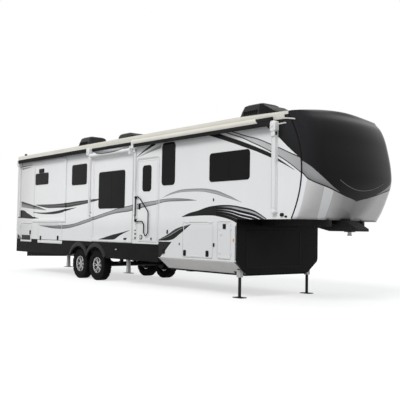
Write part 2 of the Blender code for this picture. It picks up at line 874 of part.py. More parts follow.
def build_basement():
    """The storage floor, the pan below it and the black wall across its front."""
    half = BODY_HALF - WALL_T - FIT
    front = BASEMENT_FRONT - FRONT_WALL_T - FIT
    floor = box(
        BASEMENT_BACK, front, -half, half, BASEMENT_CREASE - 0.005, BASEMENT_CREASE + BASEMENT_FLOOR_T,
    )
    lip = BODY_HALF - PAN_T / 2
    sheet = box(BASEMENT_BACK, front, -lip, lip, BASEMENT_CREASE - PAN_T, BASEMENT_CREASE - FIT)
    ring = pan_outline(0.0) + list(reversed(pan_outline(PAN_T)))
    pan = prism("X", ring, BASEMENT_BACK, front)
    leg_hole = LEG_OUTER / 2 + RUN
    holes = []
    for side in (-1, 1):
        centre = side * LEG_Y
        holes.append(box(
            FRONT_LEG_X - leg_hole, FRONT_LEG_X + leg_hole,
            centre - leg_hole, centre + leg_hole, PAN_BOTTOM - RUN, BASEMENT_CREASE - 2 * PAN_T,
        ))
    posts = []
    for side in (-1, 1):
        x0, x1, y0, y1 = post_span(side)
        posts.append(box(x0 - FIT, x1 + FIT, y0 - FIT, y1 + FIT, PAN_BOTTOM + 2 * PAN_T, DECK_UNDER))
    add("basement_pan", cut(fuse(cut(pan, *holes), sheet, floor), *posts), "gelcoat_silver")
    top = DECK_UNDER - UPPER_RAIL_H - FIT
    ear = BASEMENT_CREASE - FIT
    outline = [
        (-BODY_HALF + FIT, ear), (-PAN_HALF, PAN_BOTTOM), (PAN_HALF, PAN_BOTTOM), (BODY_HALF - FIT, ear),
        (half, BASEMENT_CREASE), (half, top), (-half, top), (-half, BASEMENT_CREASE),
    ]
    add("basement_front_wall", prism("X", outline, front + FIT, BASEMENT_FRONT), "gelcoat_black")


def build_skirts():
    """Dark skirts below the side walls, open at the wheels."""
    for side, name, hatches in ((-1, "skirt_camp", (CORNER_HATCH, REAR_HATCH)), (1, "skirt_off", ())):
        top = WALL_BOTTOM - FIT
        outline = [(0.0, SKIRT_BOTTOM)]
        reach = math.sqrt(ARCH_R ** 2 - (SKIRT_BOTTOM - TYRE_R) ** 2)
        rear, front = AXLE_STATIONS
        lean = math.atan2(SKIRT_BOTTOM - TYRE_R, reach)
        for step in range(ARCH_STEPS + 1):
            angle = math.pi - lean - (math.pi / 2 - lean) * step / ARCH_STEPS
            outline.append((rear + ARCH_R * math.cos(angle), TYRE_R + ARCH_R * math.sin(angle)))
        for step in range(ARCH_STEPS + 1):
            angle = math.pi / 2 - (math.pi / 2 - lean) * step / ARCH_STEPS
            outline.append((front + ARCH_R * math.cos(angle), TYRE_R + ARCH_R * math.sin(angle)))
        outline += [(BASEMENT_BACK - FIT, SKIRT_BOTTOM), (BASEMENT_BACK - FIT, top)]
        for hatch in reversed(hatches):
            low = hatch[2] - HINGE_GAP
            outline += [
                (hatch[1] + HINGE_GAP, top), (hatch[1] + HINGE_GAP, low),
                (hatch[0] - HINGE_GAP, low), (hatch[0] - HINGE_GAP, top),
            ]
        outline.append((0.0, top))
        low_y, high_y = mirror_y(side, BODY_HALF - SKIRT_T, BODY_HALF)
        add(name, prism("Y", outline, low_y, high_y), "skirt_black")


def beam_outline(centre, z0, z1, width):
    """An I-beam's cross-section, drawn in Y and Z."""
    w = width / 2
    web = RAIL_WEB / 2
    f = RAIL_FLANGE
    shape = [
        (-w, z0), (w, z0), (w, z0 + f), (web, z0 + f), (web, z1 - f), (w, z1 - f),
        (w, z1), (-w, z1), (-w, z1 - f), (-web, z1 - f), (-web, z0 + f), (-w, z0 + f),
    ]
    return [(centre + y, z) for y, z in shape]


def post_span(side):
    """The place in plan of a post that carries the raised front frame."""
    half = POST_W / 2
    return (POST_X - half, POST_X + half, side * RAIL_Y - half, side * RAIL_Y + half)


def build_frame():
    """Main rails, dropped rails, cross members and the raised front frame, all welded."""
    top = FLOOR_TOP - FLOOR_T - FIT
    low = top - RAIL_H
    drop_top = BASEMENT_CREASE - PAN_T - FIT
    drop_low = PAN_BOTTOM + PAN_T + FIT
    upper_top = DECK_UNDER - FIT
    upper_low = upper_top - UPPER_RAIL_H
    post_back = POST_X - POST_W / 2
    post_front = POST_X + POST_W / 2
    gusset = (BASEMENT_BACK - GUSSET_BACK, BASEMENT_BACK - GUSSET_FRONT)
    parts = []
    for side in (-1, 1):
        y = side * RAIL_Y
        main_rail = beam_outline(y, low, top, RAIL_W)
        drop_rail = beam_outline(y, drop_low, drop_top, DROP_RAIL_W)
        parts.append(prism("X", main_rail, RAIL_BACK, BASEMENT_BACK - RUN))
        parts.append(box(*gusset, y - RAIL_WEB, y + RAIL_WEB, drop_low + RAIL_FLANGE, top - WELD_LAP))
        parts.append(prism("X", drop_rail, BASEMENT_BACK - DROP_LAP, POST_X + POST_W))
        parts.append(box(*post_span(side), drop_low + RAIL_FLANGE / 2, upper_top - 2 * WELD_LAP))
        span = mirror_y(side, UPPER_RAIL_Y - UPPER_RAIL_W / 2, UPPER_RAIL_Y + UPPER_RAIL_W / 2)
        parts.append(box(post_back - WELD_LAP, UPPER_RAIL_END, *span, upper_low + WELD_STEP, upper_top))
    parts.append(box(
        post_back + WELD_LAP, post_front - WELD_LAP, -RAIL_Y, RAIL_Y,
        upper_low + 2 * WELD_LAP, upper_top - 3 * WELD_LAP,
    ))
    skirt_inner = BODY_HALF - SKIRT_T - RUN
    for station in CROSS_STATIONS:
        parts.append(box(
            station - CROSS_W / 2, station + CROSS_W / 2, -skirt_inner, skirt_inner,
            top - CROSS_H, top - WELD_STEP,
        ))
    head = BASEMENT_FRONT - FIT
    half = BODY_HALF - WALL_T - FIT
    parts.append(box(
        head - HEAD_CROSS_W, head, -half, half,
        upper_low + WELD_STEP * 3 / 2, upper_top - WELD_STEP / 2,
    ))
    for station in UPPER_CROSS_STATIONS:
        parts.append(box(
            station - UPPER_CROSS_W / 2, station + UPPER_CROSS_W / 2, -UPPER_RAIL_Y, UPPER_RAIL_Y,
            upper_low + UPPER_CROSS_INSET, upper_top - WELD_LAP,
        ))
    belly_half = RAIL_Y - RAIL_W / 2 + UNDERBELLY_LAP
    belly_low = low + UNDERBELLY_LIFT
    parts.append(box(
        RAIL_BACK + UNDERBELLY_LAP, gusset[0] - WELD_LAP, -belly_half, belly_half,
        belly_low, belly_low + UNDERBELLY_T,
    ))
    add("chassis_frame", fuse(parts[0], *parts[1:]), "frame_black")


def build_axles():
    """Each axle: a tube, its brake drums and the spindles that the hubs turn on."""
    drum_out = WHEEL_Y - TYRE_W / 2
    for name, station in zip(("axle_rear", "axle_front"), AXLE_STATIONS):
        centre = (station, 0.0, TYRE_R)
        profile = [
            (0.0, -drum_out - SPINDLE_LENGTH), (SPINDLE_R, -drum_out - SPINDLE_LENGTH),
            (SPINDLE_R, -drum_out), (DRUM_R, -drum_out), (DRUM_R, -drum_out + DRUM_W),
            (AXLE_R, -drum_out + DRUM_W),
        ]
        mirrored = [(radius, -height) for radius, height in reversed(profile)]
        add(name, turned("Y", profile + mirrored, HUB_SEGMENTS, centre), "frame_black", smooth=True)


def build_suspension():
    """Leaf springs, their equalizer and hangers on each side, as one welded set."""
    top = FLOOR_TOP - FLOOR_T - FIT - RAIL_H - FIT
    rear, front = AXLE_STATIONS
    mid = (rear + front) / 2
    seat = TYRE_R + AXLE_R + FIT
    span = mid - EQUALIZER_HALF - rear
    for side, name in ((-1, "springs_camp"), (1, "springs_off")):
        y = side * RAIL_Y
        parts = []
        for axle in (rear, front):
            shares = [2 * step / LEAF_STEPS - 1 for step in range(LEAF_STEPS + 1)]
            under = [(axle + span * share, seat + LEAF_DROP * share * share) for share in shares]
            over = [(x, z + LEAF_T) for x, z in reversed(under)]
            parts.append(prism("Y", under + over, y - LEAF_W / 2, y + LEAF_W / 2))
        eye = seat + LEAF_DROP
        reach = EQUALIZER_HALF + EQUALIZER_LAP
        thick = LEAF_W / 2 - EQUALIZER_INSET
        parts.append(box(
            mid - reach, mid + reach, y - thick, y + thick,
            eye - EQUALIZER_DROP, eye + EQUALIZER_H,
        ))
        for x in (rear - span, mid, front + span):
            parts.append(box(
                x - HANGER_W / 2, x + HANGER_W / 2, y - HANGER_T / 2, y + HANGER_T / 2,
                eye - HANGER_DROP, top,
            ))
        add(name, fuse(parts[0], *parts[1:]), "frame_black")


def tyre_profile():
    """A tyre's closed cross-section: radius and place across the tread."""
    half = TYRE_W / 2
    bead = RIM_W / 2 - RIM_LIP
    inner = RIM_R + FIT
    side = [
        (inner, bead), (RIM_R + RIM_LIP + 2 * FIT, bead),
        (RIM_R + SIDEWALL_LOW, half * SIDEWALL_SHARE), (RIM_R + SIDEWALL_WIDEST, half),
        (TYRE_R - SHOULDER_DROP, half * SIDEWALL_SHARE), (TYRE_R, half * TREAD_SHARE),
    ]
    other = [(radius, -across) for radius, across in reversed(side)]
    return side + other


def rim_mesh():
    """An alloy rim: a turned barrel, a spoked face cut from a disc, and a hub."""
    half = RIM_W / 2
    barrel = [
        (RIM_R - RIM_WALL, -half), (RIM_R + RIM_LIP, -half), (RIM_R + RIM_LIP, -half + RIM_LIP - FIT),
        (RIM_R, -half + RIM_LIP - FIT), (RIM_R, half - RIM_LIP + FIT),
        (RIM_R + RIM_LIP, half - RIM_LIP + FIT), (RIM_R + RIM_LIP, half), (RIM_R - RIM_WALL, half),
    ]
    ring = turned("Y", barrel, WHEEL_SEGMENTS)
    outline = circle(RIM_R - RIM_WALL / 2, WHEEL_SEGMENTS)
    holes = [circle(HUB_CAP_R * 0.7, HUB_SEGMENTS)]
    step = 2 * math.pi / SPOKE_COUNT
    outer = RIM_R - RIM_WALL - SPOKE_RIM_EDGE
    inner = HUB_R + SPOKE_HUB_EDGE
    wide = step * SPOKE_HOLE_WIDE
    narrow = step * SPOKE_HOLE_NARROW
    for number in range(SPOKE_COUNT):
        middle = number * step
        hole = [polar(inner, middle - narrow), polar(outer, middle - wide)]
        hole += [polar(outer + SPOKE_RIM_BOW, middle), polar(outer, middle + wide)]
        hole.append(polar(inner, middle + narrow))
        holes.append(hole)
    face_out = -half + SPOKE_SETBACK
    face = prism("Y", outline, face_out, face_out + SPOKE_T, holes)
    bore = SPINDLE_R + HUB_BORE_GAP
    hub_out = face_out + SPOKE_T / 2
    hub_in = TYRE_W / 2 - FIT
    hub = turned("Y", [(bore, hub_out), (HUB_R, hub_out), (HUB_R, hub_in), (bore, hub_in)], HUB_SEGMENTS)
    cap_out = -half - HUB_CAP_PROUD
    cap_profile = [
        (0.0, cap_out), (HUB_CAP_R * 0.8, cap_out), (HUB_CAP_R, cap_out + HUB_CAP_BEVEL),
        (HUB_CAP_R, cap_out + HUB_CAP_DEPTH), (0.0, cap_out + HUB_CAP_DEPTH),
    ]
    return fuse(ring, face, hub, turned("Y", cap_profile, HUB_SEGMENTS))


def circle(radius, segments):
    """Points round a circle."""
    return [polar(radius, 2 * math.pi * step / segments) for step in range(segments)]


def polar(radius, angle):
    """A point at a radius and an angle."""
    return (radius * math.cos(angle), radius * math.sin(angle))


def build_wheels():
    """Four tyres on alloy rims; the spoked face looks outward on both sides."""
    tyre = turned("Y", tyre_profile(), WHEEL_SEGMENTS)
    rim = rim_mesh()
    for row, station in zip(("rear", "front"), AXLE_STATIONS):
        for side, place in ((-1, "camp"), (1, "off")):
            for kind, mesh, material in (("tyre", tyre, "tyre_rubber"), ("rim", rim, "alloy")):
                piece = add(f"{kind}_{row}_{place}", mesh, material, smooth=True)
                piece.location = (station, side * WHEEL_Y, TYRE_R)
                piece.rotation_euler = (0.0, 0.0, 0.0 if side < 0 else math.pi)


def build_pin_box():
    """The pin box between the front frame's rails, and the kingpin under its plate."""
    top = DECK_UNDER - FIT
    plate = PIN_PLATE_UNDER + PIN_PLATE_T
    side_view = [
        (PIN_BOX_BACK, top - PIN_BOX_BACK_H), (PIN_X - PIN_BOX_FLAT, PIN_PLATE_UNDER),
        (PIN_BOX_TIP, PIN_PLATE_UNDER), (PIN_BOX_TIP, plate + PIN_BOX_LIP),
        (PIN_X + PIN_BOX_SLOPE, top), (PIN_BOX_BACK, top),
    ]
    body = prism("Y", side_view, -PIN_BOX_HALF, PIN_BOX_HALF)
    wing_y = UPPER_RAIL_Y - UPPER_RAIL_W / 2 - FIT
    wings = []
    web_top = top - WING_DROP
    end_top = top - WING_END_DROP
    for low, high in WING_SPANS:
        wings.append(box(low, high, -wing_y, wing_y, web_top - WING_T, web_top))
        for side in (-1, 1):
            span = mirror_y(side, wing_y - WING_END_T, wing_y)
            wings.append(box(low, high, *span, end_top - WING_END_H, end_top))
    add("pin_box", fuse(body, *wings), "frame_black")
    low = PIN_BOTTOM
    high = PIN_PLATE_UNDER - FIT
    profile = [
        (0.0, low), (PIN_FOOT_R - PIN_BEVEL, low), (PIN_FOOT_R, low + PIN_BEVEL),
        (PIN_FOOT_R, low + PIN_FOOT_H), (PIN_NECK_R, low + PIN_FOOT_H + PIN_SLOPE),
        (PIN_NECK_R, high - 3 * PIN_BEVEL), (PIN_R, high - 2 * PIN_BEVEL), (PIN_R, high), (0.0, high),
    ]
    add("kingpin", turned("Z", profile, PIN_SEGMENTS, (PIN_X, 0.0, 0.0)), "steel_grey", smooth=True)


def square_post(station, y, width, z0, z1):
    """An upright square bar."""
    half = width / 2
    return box(station - half, station + half, y - half, y + half, z0, z1)


def leg_pair(name, station, foot_z, sleeve_z, top, shaft_z):
    """Two square telescoping legs with feet, joined by the shaft that drives them."""
    length = FOOT_SIZE / 2
    width = FOOT_WIDTH / 2
    parts = [rod("Y", LEG_SHAFT / 2, -LEG_Y, LEG_Y, (station, 0.0, shaft_z), LEG_SHAFT_SIDES)]
    for side in (-1, 1):
        y = side * LEG_Y
        foot = rectangle(station - length, station + length, y - width, y + width, FOOT_CORNER_R)
        parts.append(square_post(station, y, LEG_OUTER, sleeve_z, top))
        parts.append(square_post(station, y, LEG_INNER, foot_z + FOOT_T / 2, sleeve_z + LEG_LAP))
        parts.append(prism("Z", foot, foot_z, foot_z + FOOT_T))
    add(name, fuse(parts[0], *parts[1:]), "steel_grey")


def build_legs():
    """Three pairs of levelling legs: the front pair down, the others drawn up."""
    frame_under = FLOOR_TOP - FLOOR_T - FIT - CROSS_H - FIT
    shaft = FLOOR_TOP - FLOOR_T - RAIL_H - LEG_SHAFT
    sheet_under = BASEMENT_CREASE - PAN_T - FIT
    leg_pair("front_legs", FRONT_LEG_X, 0.0, FRONT_SLEEVE_Z, sheet_under, sheet_under - LEG_SHAFT_DROP)
    leg_pair("mid_legs", MID_LEG_X, RAISED_FOOT_Z, RAISED_SLEEVE_Z, frame_under, shaft)
    leg_pair("rear_legs", REAR_LEG_X, RAISED_FOOT_Z, RAISED_SLEEVE_Z, frame_under, shaft)


def pane(name, opening, side, material="tinted_glass", outer=BODY_HALF):
    """A window's glass, set in its opening and a little proud of the wall."""
    low, high = mirror_y(side, outer - GLASS_T, outer + GLASS_PROUD)
    return add(name, prism("Y", grown(opening, 0.0), low, high), material)


def slide_room(name, opening, window, side, depth, has_topper=True):
    """A slide-out room: a box open inward, its flange, its window and its topper roll."""
    x0, x1, z0, z1, radius = opening
    a0 = x0 + RUN
    a1 = x1 - RUN
    b0 = z0 + FIT
    b1 = z1 - RUN
    ring = rectangle(a0, a1, b0, b1)
    hollow = rectangle(a0 + SLIDE_WALL, a1 - SLIDE_WALL, b0 + SLIDE_WALL, b1 - SLIDE_WALL)
    tunnel = prism("Y", ring, *mirror_y(side, BODY_HALF - depth, BODY_HALF + RUN + FLANGE_T / 2), [hollow])
    window_hole = grown(window, FIT)
    face = rectangle(a0 + PANEL_LAP, a1 - PANEL_LAP, b0 + PANEL_LAP, b1 - PANEL_LAP)
    outer_panel = prism("Y", face, *mirror_y(side, BODY_HALF - SLIDE_WALL, BODY_HALF), [window_hole])
    rim = rectangle(x0 - FLANGE, x1 + FLANGE, z0 - FLANGE, z1 + FLANGE)
    rim_hole = rectangle(a0 + FLANGE_LAP, a1 - FLANGE_LAP, b0 + FLANGE_LAP, b1 - FLANGE_LAP)
    flange_low = BODY_HALF + RUN
    flange = prism("Y", rim, *mirror_y(side, flange_low, flange_low + FLANGE_T), [rim_hole])
    parts = [tunnel, outer_panel, flange]
    if has_topper:
        centre_y = side * (BODY_HALF + AWNING_PROUD - TOPPER_R)
        centre_z = z1 + FLANGE - TOPPER_R + TOPPER_RISE
        start = x0 - FLANGE
        end = x1 + FLANGE
        parts.append(rod(
            "X", TOPPER_R, start + TOPPER_END_INSET, end - TOPPER_END_INSET,
            (0.0, centre_y, centre_z), TOPPER_SIDES,
        ))
        head_z = z1 + FLANGE - TOPPER_HEAD_DROP
        span = sorted((side * (flange_low + FLANGE_T / 2), centre_y + side * TOPPER_R * 0.6))
        for low in (start + TOPPER_HEAD_INSET, end - TOPPER_HEAD - TOPPER_HEAD_INSET):
            parts.append(box(low, low + TOPPER_HEAD, *span, head_z, head_z + TOPPER_HEAD_H))
    add(name, fuse(parts[0], *parts[1:]), "gelcoat_white")
    pane(name + "_window", window, side)


def hatch_mesh(hatch, side, thickness, hinge, holes=()):
    """A flush door panel with its moving knuckles."""
    low, high = mirror_y(side, BODY_HALF - thickness, BODY_HALF)
    panel = prism("Y", grown(hatch, -HINGE_GAP), low, high, holes)
    axis, start, end, centre, reach = hinge
    moving = hinge_pairs(axis, side, start, end, centre, reach)[1]
    return fuse(panel, *moving)


def hatch_origin(hinge, side):
    """The place on a hinge's axis where its door has its origin."""
    axis, start, end, centre, reach = hinge
    middle = (start + end) / 2
    if axis == "X":
        return (middle, side * HINGE_OUT, centre)
    return (centre, side * HINGE_OUT, middle)


def top_hinge(hatch):
    """A hinge along a hatch's upper edge."""
    return ("X", hatch[0], hatch[1], hatch[3], -1)


def front_hinge(hatch):
    """An upright hinge along a hatch's front edge."""
    return ("Z", hatch[2], hatch[3], hatch[1], -1)


def rear_hinge(hatch):
    """An upright hinge along a hatch's rear edge."""
    return ("Z", hatch[2], hatch[3], hatch[0], 1)


CAMP_HINGES = {
    "entry_door": front_hinge(ENTRY_DOOR),
    "front_hatch_camp": top_hinge(FRONT_HATCH),
    "utility_hatch": front_hinge(UTILITY_HATCH),
    "rear_hatch": top_hinge(REAR_HATCH),
    "corner_hatch": rear_hinge((CORNER_HATCH[0], CORNER_HATCH[1], WALL_BOTTOM, CORNER_HATCH[3], 0.0)),
}
OFF_HINGES = {
    "front_hatch_off": top_hinge(FRONT_HATCH),
}


def build_doors():
    """The entry door with its window, and the compartment doors."""
    hinge = CAMP_HINGES["entry_door"]
    door = hatch_mesh(ENTRY_DOOR, -1, DOOR_T, hinge, [grown(DOOR_WINDOW, FIT)])
    origin = hatch_origin(hinge, -1)
    add("entry_door", door, "gelcoat_white", origin)
    pane("entry_door_window", DOOR_WINDOW, -1)
    for name, hatch in (("front_hatch_camp", FRONT_HATCH), ("utility_hatch", UTILITY_HATCH),
                        ("rear_hatch", REAR_HATCH), ("corner_hatch", CORNER_HATCH)):
        hinge = CAMP_HINGES[name]
        add(name, hatch_mesh(hatch, -1, HATCH_T, hinge), "gelcoat_white", hatch_origin(hinge, -1))
    hinge = OFF_HINGES["front_hatch_off"]
    origin = hatch_origin(hinge, 1)
    add("front_hatch_off", hatch_mesh(FRONT_HATCH, 1, HATCH_T, hinge), "gelcoat_white", origin)


def build_handrail():
    """The folding handrail, a closed loop of round bar that turns about its upright."""
    y = -(BODY_HALF + RAIL_STANDOFF)
    x = RAIL_AXIS_X
    path = [(x, y, HANDRAIL_LOW), (x, y, HANDRAIL_TOP)]
    path += [(x + ahead, y, z) for ahead, z in HANDRAIL_LOOP]
    loop = tube_along(path, HANDRAIL_R, HANDRAIL_SIDES, closed=True)
    add("handrail", loop, "rail_black", (x, y, (HANDRAIL_LOW + HANDRAIL_TOP) / 2), smooth=True)


def build_awnings():
    """Two awnings rolled up at the roof edge, each between a pair of long arms."""
    outer = BODY_HALF + AWNING_PROUD
    centre_y = -(outer - AWNING_ROLL_R)
    for name, (low, high) in (("awning_rear", REAR_AWNING), ("awning_front", FRONT_AWNING)):
        centre = (0.0, centre_y, AWNING_ROLL_Z)
        parts = [rod("X", AWNING_ROLL_R, low - ARM_W / 4, high + ARM_W / 4, centre, AWNING_SIDES)]
        arm_in = -(BODY_HALF + FIT)
        for x in (low, high):
            back = x - ARM_W / 2
            front = x + ARM_W / 2
            parts.append(box(back, front, arm_in - ARM_D, arm_in, ARM_FOOT_Z, WALL_TOP - RUN))
            parts.append(box(
                back - ARM_HEAD_LAP, front + ARM_HEAD_LAP, -outer, arm_in - ARM_D / 2,
                AWNING_ROLL_Z - ARM_HEAD / 2, AWNING_ROLL_Z + ARM_HEAD / 2 - ARM_HEAD_LAP,
            ))
        add(name, fuse(parts[0], *parts[1:]), "awning_metal")


def build_roof_equipment():
    """Two air conditioner shrouds and a domed vent, standing on the crown."""
    seat = ROOF_TOP + FIT
    for name, station in zip(("air_conditioner_rear", "air_conditioner_front"), AC_STATIONS):
        sections = []
        levels = (
            (seat, 0.0), (seat + AC_BASE_T, 0.0), (seat + AC_SHOULDER, AC_TAPER * 0.6),
            (AC_TOP - AC_BEVEL, AC_TAPER * 1.2), (AC_TOP, AC_TAPER * 1.9),
        )
        for z, inset in levels:
            half_l = AC_LENGTH / 2 - inset
            half_w = AC_WIDTH / 2 - inset
            outline = rectangle(station - half_l, station + half_l, -half_w, half_w, AC_CORNER_R)
            sections.append([(x, y, z) for x, y in outline])
        add(name, loft(sections), "shroud_plastic", smooth=True)
    half = VENT_SIZE / 2
    sections = []
    for z, inset in ((seat, 0.0), (VENT_TOP - VENT_BEVEL, VENT_SLOPE), (VENT_TOP, VENT_TOP_INSET)):
        reach = half - inset
        outline = rectangle(VENT_X - reach, VENT_X + reach, -reach, reach, VENT_CORNER_R)
        sections.append([(x, y, z) for x, y in outline])
    add("roof_vent", loft(sections), "shroud_plastic")


def build_rear_end():
    """The bumper on the frame's rails, the roof ladder and the tail lamps."""
    bumper_top = BUMPER_Z + BUMPER_H
    rails = [box(BUMPER_X, BUMPER_X + BUMPER_D, -BUMPER_HALF, BUMPER_HALF, BUMPER_Z, bumper_top)]
    for side in (-1, 1):
        y = side * RAIL_Y
        rails.append(box(
            BUMPER_X + BUMPER_D / 2, RAIL_BACK - FIT, y - BUMPER_ARM_W / 2, y + BUMPER_ARM_W / 2,
            BUMPER_Z + BUMPER_ARM_INSET, bumper_top - BUMPER_ARM_INSET,
        ))
    add("rear_bumper", fuse(rails[0], *rails[1:]), "frame_black")
    x = -LADDER_STANDOFF
    top = WALL_TOP - LADDER_TOP_GAP
    parts = []
    for side in (-1, 1):
        y = LADDER_Y + side * LADDER_HALF
        parts.append(rod("Z", LADDER_R, LADDER_LOW, top, (x, y, 0.0), LADDER_SIDES))
        for z in (LADDER_LOW + LADDER_STAY_INSET, (LADDER_LOW + top) / 2, top - LADDER_STAY_INSET):
            parts.append(rod("X", LADDER_STAY_R, x, -FIT, (0.0, y, z), LADDER_SIDES))
    first = LADDER_LOW + LADDER_RUNG_INSET
    pitch = (top - LADDER_RUNG_INSET - first) / (LADDER_RUNGS - 1)
    for number in range(LADDER_RUNGS):
        z = first + number * pitch
        parts.append(rod(
            "Y", LADDER_RUNG_R, LADDER_Y - LADDER_HALF, LADDER_Y + LADDER_HALF, (x, 0.0, z), LADDER_SIDES,
        ))
    add("rear_ladder", fuse(parts[0], *parts[1:]), "alloy")
    for side, name in ((-1, "tail_lamp_camp"), (1, "tail_lamp_off")):
        y = side * LAMP_Y
        outline = rectangle(y - LAMP_W / 2, y + LAMP_W / 2, LAMP_Z0, LAMP_Z1, LAMP_CORNER_R)
        add(name, prism("X", outline, -LAMP_T - FIT, -FIT), "lamp_red")


def build_windows():
    """The fixed windows in the walls."""
    pane("mid_window", MID_WINDOW, -1)
    pane("tall_window", TALL_WINDOW, -1)
    pane("bedroom_window", BEDROOM_WINDOW, -1)
    pane("off_rear_window", OFF_REAR_WINDOW, 1)
    outline = rectangle(
        -REAR_WINDOW_HALF, REAR_WINDOW_HALF, REAR_WINDOW_Z0, REAR_WINDOW_Z1, REAR_WINDOW_CORNER_R,
    )
    add("rear_window", prism("X", outline, -GLASS_PROUD, GLASS_T), "tinted_glass")


def build_slides():
    """Four slide-out rooms, all drawn in."""
    slide_room("slide_main", MAIN_SLIDE, MAIN_SLIDE_WINDOW, -1, SLIDE_DEPTH)
    slide_room("slide_rear", REAR_SLIDE, REAR_SLIDE_WINDOW, -1, SLIDE_DEPTH, has_topper=False)
    slide_room("slide_off", OFF_SLIDE, OFF_SLIDE_WINDOW, 1, SLIDE_DEPTH)
    slide_room("slide_bed", BED_SLIDE, BED_SLIDE_WINDOW, 1, BED_SLIDE_DEPTH)


clear_scene()
FINISH = make_materials()
DATUM = bpy.data.objects.new("trailer_datum", None)
DATUM.location = (-MID_X, 0.0, 0.0)
bpy.context.scene.collection.objects.link(DATUM)
build_camp_wall()
build_off_wall()
build_rear_wall()
build_roof()
build_cap()
build_floors()
build_basement()
build_skirts()
build_frame()
build_axles()
build_suspension()
build_wheels()
build_pin_box()
build_legs()
build_windows()
build_slides()
build_doors()
build_handrail()
build_awnings()
build_roof_equipment()
build_rear_end()
bpy.context.view_layer.update()
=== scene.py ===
"""Visual model of a long two-axle travel trailer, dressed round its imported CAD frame.

Every length is in metres. A station is a distance ahead of the rear wall, and
row_x turns it into the frame's own x. The camp side is -Y, where the entry door
is, and the off side is +Y.
"""
from __future__ import annotations

import json
import logging
import math
from dataclasses import dataclass
from enum import Enum
from typing import Iterable, Sequence

import bmesh
import bpy
from mathutils import Matrix, Vector

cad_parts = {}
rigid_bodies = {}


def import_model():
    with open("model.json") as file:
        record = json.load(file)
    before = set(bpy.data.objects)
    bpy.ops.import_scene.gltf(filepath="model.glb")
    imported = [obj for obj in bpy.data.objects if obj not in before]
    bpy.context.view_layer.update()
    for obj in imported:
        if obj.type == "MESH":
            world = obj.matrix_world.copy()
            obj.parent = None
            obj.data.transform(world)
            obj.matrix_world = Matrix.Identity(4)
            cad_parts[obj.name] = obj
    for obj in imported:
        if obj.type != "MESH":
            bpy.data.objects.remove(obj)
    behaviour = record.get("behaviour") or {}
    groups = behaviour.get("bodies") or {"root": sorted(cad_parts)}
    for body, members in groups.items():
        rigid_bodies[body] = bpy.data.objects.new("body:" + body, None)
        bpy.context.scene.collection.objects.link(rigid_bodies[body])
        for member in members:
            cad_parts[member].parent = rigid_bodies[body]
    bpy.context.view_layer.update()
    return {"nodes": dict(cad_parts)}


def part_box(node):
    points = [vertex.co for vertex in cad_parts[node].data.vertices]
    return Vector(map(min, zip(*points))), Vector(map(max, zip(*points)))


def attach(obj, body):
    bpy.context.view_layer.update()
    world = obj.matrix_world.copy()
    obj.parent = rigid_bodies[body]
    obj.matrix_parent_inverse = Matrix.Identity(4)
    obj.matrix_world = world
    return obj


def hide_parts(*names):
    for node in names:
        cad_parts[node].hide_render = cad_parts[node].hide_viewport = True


for leftover in list(bpy.data.objects):
    bpy.data.objects.remove(leftover)
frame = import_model()

logging.basicConfig(level=logging.INFO, format="%(name)s: %(message)s")
LOG = logging.getLogger("trailer")

Point2 = tuple[float, float]
Point3 = tuple[float, float, float]
Colour = tuple[float, float, float]
Stop = tuple[float, Colour]
Profile = Sequence[Point2]
Socket = bpy.types.NodeSocket

REAR_FROM_MIDDLE = 6.165
BODY_HALF = 1.22
WALL_TOP = 3.5
ROOF_HALF = 1.205
ROOF_EDGE = 3.6
CROWN_RISE = 0.11
CORNER_STEPS = 6
AHEAD, ACROSS, UP = Vector((1, 0, 0)), Vector((0, 1, 0)), Vector((0, 0, 1))


class Side(Enum):
    """The two long sides of the trailer, as the sign of y."""

    CAMP = -1
    OFF = 1

    @property
    def label(self) -> str:
        """The side's short name in piece names."""
        return self.name.lower()


class Tone(Enum):
    """The paint's few tones, as grey levels in linear light."""

    BLACK = 0.01
    CHARCOAL = 0.03
    DARK = 0.06
    MIDDLE = 0.19
    GREY = 0.3
    PALE = 0.43
    WHITE = 0.8

    @property
    def rgb(self) -> Colour:
        """The tone as a colour, a touch cool."""
        return (self.value, self.value, self.value * 1.03)


def grey(level: float, warmth: float = 0.0) -> Colour:
    """A grey of a level in linear light, warmer where warmth is above nought."""
    return (level * (1 + warmth), level, level * (1 - warmth))


def row_x(station: float) -> float:
    """The frame's x of a station."""
    return station - REAR_FROM_MIDDLE


def spot(station: float, y: float, z: float) -> Vector:
    """A place by its station, y and z."""
    return Vector((row_x(station), y, z))


def spin(angle: float) -> Vector:
    """The direction at an angle round a wheel's axle."""
    return Vector((math.cos(angle), 0, math.sin(angle)))


# Shader graphs


